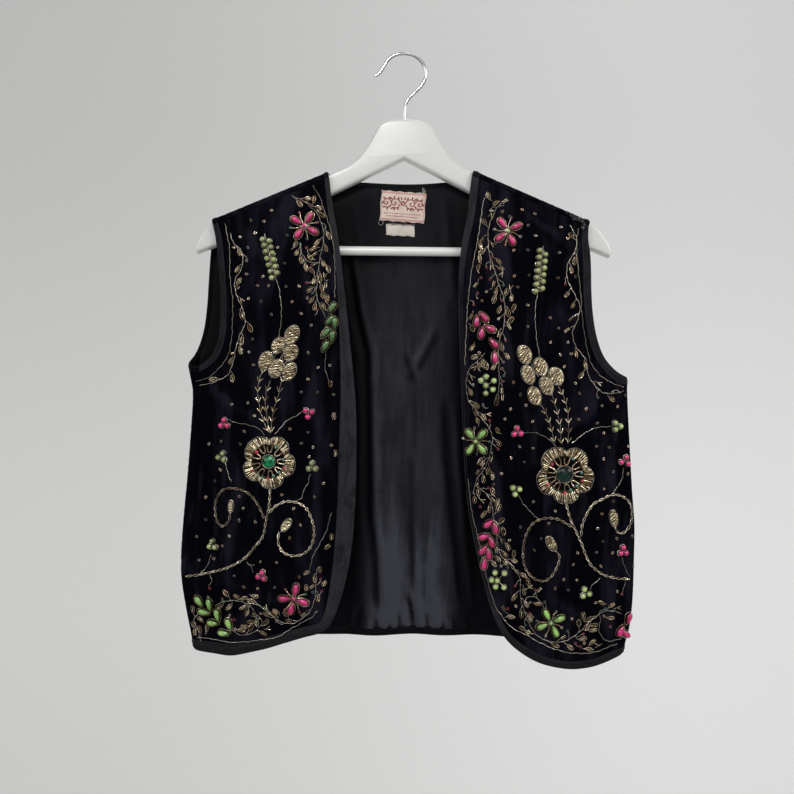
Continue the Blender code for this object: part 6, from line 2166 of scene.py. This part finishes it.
        growAll("gold_purl", pointMesh("rods", self.rods), "rod", {"Segments": 7, "Rings": 7},
                "purl")
        growAll("gold_leaves", pathMesh("curls", self.curls), "strand",
                {"Sides": 6, "Radius": mm}, "leaf")
        growAll("gold_cord", pathMesh("cords", self.cords), "strand",
                {"Sides": 5, "Radius": mm}, "cord")
        if self.threads:
            growAll("frayed_thread", pathMesh("threads", self.threads), "strand",
                    {"Sides": 5, "Radius": mm}, "blackThread")
        growAll("gold_rope", pathMesh("ropes", self.ropes), "rope",
                {"Ply Radius": needle["ropePly"] * mm, "Wind Radius": needle["ropeWind"] * mm,
                 "Turn Length": needle["ropeTurn"] * mm, "Step": needle["ropeStep"] * mm}, "rope")
        growAll("gold_pads", pointMesh("pads", self.pads), "ball",
                {"Segments": 20, "Rings": 12}, "pad")
        mesh = self.padRing()
        addPiece(mesh.name, mesh, "pad")
        purls = {"purlRing": "seed", "purlBead": "cord"}
        for name, tree, sizes, kinds in (("petals", "drop", (18, 12), self.drops),
                                         ("beads", "ball", (18, 12), self.balls),
                                         ("rings", "ring", (10, 5), self.rings)):
            for finish, spots in kinds.items():
                growAll("%s_%s" % (name, finish), pointMesh(name, spots), tree,
                        dict(zip(("Segments", "Rings"), sizes)), purls.get(finish, finish))
        print("scene: needlework on the %s front, %d rods, %d cords, %d rings" % (
            self.word, len(self.rods), len(self.cords), sum(map(len, self.rings.values()))))


def closedMesh(name, verts, faces, smooth=True):
    body = bmesh.new()
    made = [body.verts.new(place) for place in verts]
    for face in faces:
        body.faces.new([made[i] for i in face])
    bmesh.ops.recalc_face_normals(body, faces=body.faces)
    mesh = bpy.data.meshes.new(name)
    body.to_mesh(mesh)
    body.free()
    if smooth:
        mesh.shade_smooth()
    return mesh


for side in (leftSide, rightSide):
    work = Needlework(side, frontPieces[side][1])
    work.work(workTables[side])
    work.make()


# labels sewn to the lining; they carry plain ornament and no words

labelMake = {"step": 1.1, "lift": 1.1, "wall": 0.5, "pucker": 0.35, "lineIn": 1.9, "lineHalf": 0.5,
             "stitchPitch": 2.7, "stitchLength": 1.9, "stitchRadius": 0.2}

Label = namedtuple("Label", "node name x z wide high turn finish seed")
labels = [
    Label("label_main", "woven_label", -1, -156, 47, 31, -3.5, "label", 4),
    Label("label_size", "small_tag", -3.5, -180.6, 30, 11.5, -2.5, "sizeTag", 9),
]
liningMap = ClothMap("lining", -linedDepth)


def labelLift(row, a, b):
    # puckered where its stitches pull, and a little proud in the middle
    edge = min(0.5 * row.wide - abs(a), 0.5 * row.high - abs(b))
    wave = math.sin(a / 3.1 + row.seed) * math.sin(b / 4.3 + 2 * row.seed)
    return labelMake["lift"] + 0.5 * soft(edge / 5) + labelMake["pucker"] * wave * soft(edge / 2)


def layOnLabel(row, a, b, lift, degrees=0):
    place, along, outward = liningMap.lay(*turned(row.x, row.z, row.turn, a, b), 0,
                                          degrees + row.turn)
    return place + outward * (labelLift(row, a, b) + lift) * mm, along, outward


def makeLabel(row):
    wideSteps = round(row.wide / labelMake["step"])
    highSteps = round(row.high / (0.5 * labelMake["step"]))
    verts, faces, spots, line = [], [], [], []
    for j in range(highSteps + 1):
        for i in range(wideSteps + 1):
            a = (i / wideSteps - 0.5) * row.wide
            b = (j / highSteps - 0.5) * row.high
            ragged = 0.35 * math.sin(a / 1.7 + row.seed) * soft(1 - (0.5 * row.high - abs(b)) / 1.5)
            sway = 0.4 * math.sin(b / 3.3 + row.seed) * soft(1 - (0.5 * row.wide - abs(a)) / 2)
            verts.append(layOnLabel(row, a + sway, b + ragged, 0)[0])
            spots.append((a * mm, b * mm))
            depthIn = 0.5 * row.high - abs(b)
            drawn = row.node == "label_main" and \
                abs(depthIn - labelMake["lineIn"]) < labelMake["lineHalf"]
            line.append(0.85 if drawn else 0)
    width = wideSteps + 1
    for j in range(highSteps):
        for i in range(wideSteps):
            k = j * width + i
            faces.append((k, k + 1, k + width + 1, k + width))
    mesh = bpy.data.meshes.new(row.name)
    mesh.from_pydata(verts, [], faces)
    layer = mesh.uv_layers.new(name="UVMap")
    layer.data.foreach_set("uv", [n for loop in mesh.loops for n in spots[loop.vertex_index]])
    addNumbers(mesh, "edgeLine", line)
    mesh.shade_smooth()
    piece = addWall(addPiece(row.name, mesh, row.finish), labelMake["wall"])
    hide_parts(row.node)
    row.wide * mm
    row.high * mm
    rim = []
    halfWide, halfHigh = 0.5 * row.wide - 1, 0.5 * row.high - 0.9
    corners = [(-halfWide, -halfHigh), (halfWide, -halfHigh), (halfWide, halfHigh),
               (-halfWide, halfHigh), (-halfWide, -halfHigh)]
    for start, end in zip(corners, corners[1:]):
        count = round(math.dist(start, end) / 1)
        for k in range(count):
            a, b = mix(start[0], end[0], k / count), mix(start[1], end[1], k / count)
            place, along, outward = layOnLabel(row, a, b, 0.1)
            rim.append((place, 1, outward))
    grow(row.name + "_stitches", pathMesh("rim", [rim]), "stitches",
         {"Pitch": labelMake["stitchPitch"] * mm, "Length": labelMake["stitchLength"] * mm,
          "Radius": labelMake["stitchRadius"] * mm},
         "redThread" if row.node == "label_main" else "whiteThread")


def threadPath(row, points, radius, lift):
    path = []
    for a, b in smoothPath(points, 0.5):
        place, along, outward = layOnLabel(row, a, b, lift)
        path.append((place, radius, outward))
    return path


# half of the ornament, mirrored across the label: scrolls, and leaves as (a, b, angle)
labelScrolls = [
    [(2.6, 4.2), (5.4, 7.2), (9.6, 7.6), (12.2, 5), (11.4, 1.8), (8.6, 1.4), (7.6, 3.6), (9.4, 4.6)],
    [(11.8, 3.2), (14.2, 6.6), (17.6, 7.4), (20.2, 5), (19.4, 2), (16.8, 1.6), (16.2, 3.8), (17.8, 4.4)],
    [(3, 2.6), (4.6, -0.2), (7.4, -1.6), (10.6, -0.8)], [(12.6, 0.6), (15, -1.2), (18.4, -1)],
]
labelLeaves = [
    (5, 8.6, 60), (9.8, 9.4, 100), (12.6, 8, 50), (14.6, 8.4, 110), (19.8, 8, 40), (21.4, 3, -60),
    (13.4, 0.2, -60), (5.2, -2.2, -110), (9, -3, -70), (11.4, -2.2, -20), (16.4, -2.8, -80),
    (19.8, -1.4, 0), (2, 8.6, 80),
]


ornament = {
    "lift": 0.1, "scrollRadius": 0.44, "lineRadius": 0.22,
    # half length, half width and height
    "leaf": (1.5, 0.75, 0.35), "petal": (1, 0.55, 0.35), "lozenge": (0.6, 0.6, 0.3),
    "dash": (1, 0.34, 0.3),
}


def makeOrnament(row):
    # plain scrolls and leaves beside a rosette, over a row of dashes and lozenges
    paths, buds = [], []

    def bud(a, b, turn, *size):
        place, along, outward = layOnLabel(row, a, b, ornament["lift"], turn)
        buds.append((place, along, outward, [number * mm for number in size], 0.5))

    for hand in (-1, 1):
        for line in labelScrolls:
            paths.append(threadPath(row, [(hand * a, b) for a, b in line],
                                    ornament["scrollRadius"], ornament["lift"]))
        for a, b, angle in labelLeaves:
            bud(hand * a, b, angle if hand > 0 else 180 - angle, *ornament["leaf"])
    for k in range(8):
        bud(*polar(0, 3.6, 1.9, 45 * k), 45 * k, *ornament["petal"])
    for k in range(-7, 8):
        if k % 2:
            bud(2.6 * k, -7.4, 45, *ornament["lozenge"])
        else:
            bud(2.6 * k, -7.4, 0, *ornament["dash"])
    paths.append(threadPath(row, [(-17, -10.2), (0, -10.1), (17, -10.2)],
                            ornament["lineRadius"], ornament["lift"]))
    grow("label_vine", pathMesh("vine", paths), "strand", {"Sides": 6, "Radius": mm},
         "redThread")
    grow("label_buds", pointMesh("buds", buds), "ball", {"Segments": 10, "Rings": 6},
         "redThread")


def makeFrays(rows):
    # loose thread ends: a tuft at one corner, a loop below, fuzz along the small tag
    main, tag = rows
    chance = random.Random(8)
    paths = []
    corner = (0.5 * main.wide - 1.5, 0.5 * main.high - 0.8)
    for k in range(7):
        lean, long = chance.uniform(-1.6, 1.4), chance.uniform(3, 6.5)
        start = (corner[0] + chance.uniform(-2, 1), corner[1])
        paths.append(threadPath(main, [start, (start[0] + 0.4 * lean, start[1] + 0.5 * long),
                                       (start[0] + lean, start[1] + long)], 0.17, 0.3))
    low = -0.5 * main.high
    paths.append(threadPath(main, [(-22, low + 1), (-24.6, low - 2.5), (-22.5, low - 5),
                                   (-19.5, low - 3.4), (-20.8, low + 0.8)], 0.18, 0.4))
    for k in range(26):
        a = -0.5 * tag.wide + 1 + k * (tag.wide - 2) / 25
        top = 0.5 * tag.high
        long = chance.uniform(0.7, 2)
        paths.append(threadPath(tag, [(a, top - 0.8), (a + chance.uniform(-0.4, 0.4),
                                                       top + 0.5 * long),
                                      (a + chance.uniform(-0.8, 0.8), top + long)], 0.15, 0.15))
    grow("label_frays", pathMesh("frays", paths), "strand", {"Sides": 5, "Radius": mm},
         "whiteThread")


for row in labels:
    makeLabel(row)
makeOrnament(labels[0])
makeFrays(labels)
print("scene: labels")


# hanger

hangerMake = {"thick": 14, "round": 3.4, "roundSteps": 6, "outlineStep": 2.4,
              "straightStep": 8, "endStep": 6, "notchStep": 1.6, "wireRadius": 1.65}

# outline, right half, from the middle outwards
hangerUpper = [
    (0, -67.9), (13.4, -68.8), (20.7, -70.6), (26.3, -74.2), (29.4, -79), (34.1, -88.1), (39.8, -97.4),
    (46.5, -106.7), (54, -113.8), (63, -119.4), (77, -125.3), (155, -159.3), (196, -175.9), (202, -180),
    (206.5, -185.7), (211.6, -192.6), (215, -199.9), (216, -204.6),
]
hangerLower = [
    (213.6, -208.6), (195, -201.2), (189.5, -201.6), (186.6, -207), (183, -211), (175, -211.4),
    (170, -207), (166.5, -197), (160, -188.6), (77, -147.2), (0, -109.1),
]
hookLine = [
    (-30.8, -22), (-28.2, -19.9), (-25.2, -17), (-22.6, -13), (-19.6, -7.4), (-16.4, -3.7), (-12.4, -0.9),
    (-6.8, 1.2), (-0.6, 1.7), (6.4, 0.6), (12, -2), (16.4, -6), (19.6, -10.9), (21.2, -16), (21.5, -21.6),
    (19.9, -27), (16.6, -32.2), (11.2, -37.8), (5.4, -43.6), (1.9, -48.6), (0.4, -53.6), (0, -59),
    (0, -72), (0, -92.9),
]


def insetLine(outline, inset):
    # the outline moved inwards; where it would double back, its points are drawn together
    count, moved = len(outline), []
    for i, (u, v) in enumerate(outline):
        before, after = outline[i - 1], outline[(i + 1) % count]
        a = Vector((u - before[0], v - before[1])).normalized()
        b = Vector((after[0] - u, after[1] - v)).normalized()
        normal = Vector((a.y + b.y, -a.x - b.x)).normalized()
        stretch = 1 / max(0.75, normal.dot(Vector((a.y, -a.x))))
        moved.append(Vector((u, v)) + normal * inset * stretch)
    for _ in range(40):
        turned = [i for i in range(count) if (moved[(i + 1) % count] - moved[i]).dot(
            Vector(outline[(i + 1) % count]) - Vector(outline[i])) <= 0
            and (moved[(i + 1) % count] - moved[i]).length > 1e-6]
        if not turned:
            break
        for i in turned:
            j = (i + 1) % count
            step = Vector(outline[j]) - Vector(outline[i])
            middle = (moved[i] + moved[j]) / 2
            moved[i], moved[j] = middle - step * 1e-3, middle + step * 1e-3
    return [tuple(p) for p in moved]


def makeHangerBody():
    half = hangerUpper[:1]
    for run, step in ((hangerUpper[:11], "outlineStep"), (hangerUpper[10:13], "straightStep"),
                      (hangerUpper[12:] + hangerLower[:1], "outlineStep"),
                      (hangerLower[:2], "endStep"), (hangerLower[1:9], "notchStep"),
                      (hangerLower[8:10], "straightStep"), (hangerLower[9:], "straightStep")):
        half += smoothPath(run, hangerMake[step])[1:]
    outline = half + [(-u, v) for u, v in half[-2:0:-1]]
    count, steps, curve = len(outline), hangerMake["roundSteps"], hangerMake["round"]
    profile = []
    for k in range(steps + 1):
        t = 0.5 * math.pi * k / steps
        profile.append((curve * (1 - math.cos(t)),
                        hangerMake["thick"] / 2 - curve * (1 - math.sin(t))))
    layers = [(inset, -y) for inset, y in reversed(profile)] + profile
    verts = [Vector((u, y, v)) * mm for inset, y in layers for u, v in insetLine(outline, inset)]
    faces = []
    for k in range(len(layers) - 1):
        for i in range(count):
            j = (i + 1) % count
            faces.append((k * count + i, k * count + j, (k + 1) * count + j, (k + 1) * count + i))
    faces += [tuple(range(count)), tuple((len(layers) - 1) * count + i for i in range(count))]
    mesh = closedMesh("lacquered_hanger", verts, faces)
    mesh.set_sharp_from_angle(angle=math.radians(32))
    piece = addPiece(mesh.name, mesh, "lacquer")
    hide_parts("hanger_body")


def makeHook():
    path = [(Vector((u, 0, v)) * mm, 1, (0, -1, 0)) for u, v in smoothPath(hookLine, 1)]
    piece = grow("bent_wire_hook", pathMesh("hook", [path]), "strand",
                 {"Sides": 20, "Radius": hangerMake["wireRadius"] * mm}, "steel")
    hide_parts("hanger_hook")


makeHangerBody()
makeHook()
nodes["hanger_bar"].data.materials.clear()
nodes["hanger_bar"].data.materials.append(finishes["litBarLacquer"])
print("scene: hanger")


# sizes the cloth was cut to, from its own flat outline

def shoelace(outline):
    pairs = zip(outline, outline[1:] + outline[:1])
    return 0.5 * abs(sum(a[0] * b[1] - b[0] * a[1] for a, b in pairs))


def stateSheet(piece, outline, restsOn, tapes):
    wide = (max(p[0] for p in outline) - min(p[0] for p in outline)) * mm
    long = (max(p[1] for p in outline) - min(p[1] for p in outline)) * mm
    area = shoelace(outline) * mm * mm
    [bpy.data.objects[name + "_tape"] for name in tapes]
    print("scene: %s cut %.0f x %.0f mm, %.4f m2" % (piece.name, wide / mm, long / mm, area))


for side, word in ((leftSide, "left"), (rightSide, "right")):
    stateSheet(*frontPieces[side], ["lacquered_hanger", "velvet_back"],
               ["binding_front_" + word, "binding_armhole_front_" + word])
stateSheet(*backPiece, ["lacquered_hanger"],
           ["binding_back_hem", "binding_back_neck", "binding_armhole_back_left",
            "binding_armhole_back_right"])
stateSheet(*liningPiece, ["velvet_back"], [])


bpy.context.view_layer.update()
meshes = [thing.data for thing in bpy.context.scene.objects if thing.type == "MESH"]
print("scene: done,", sum(len(face.vertices) - 2 for mesh in meshes for face in mesh.polygons),
      "triangles before modifiers")
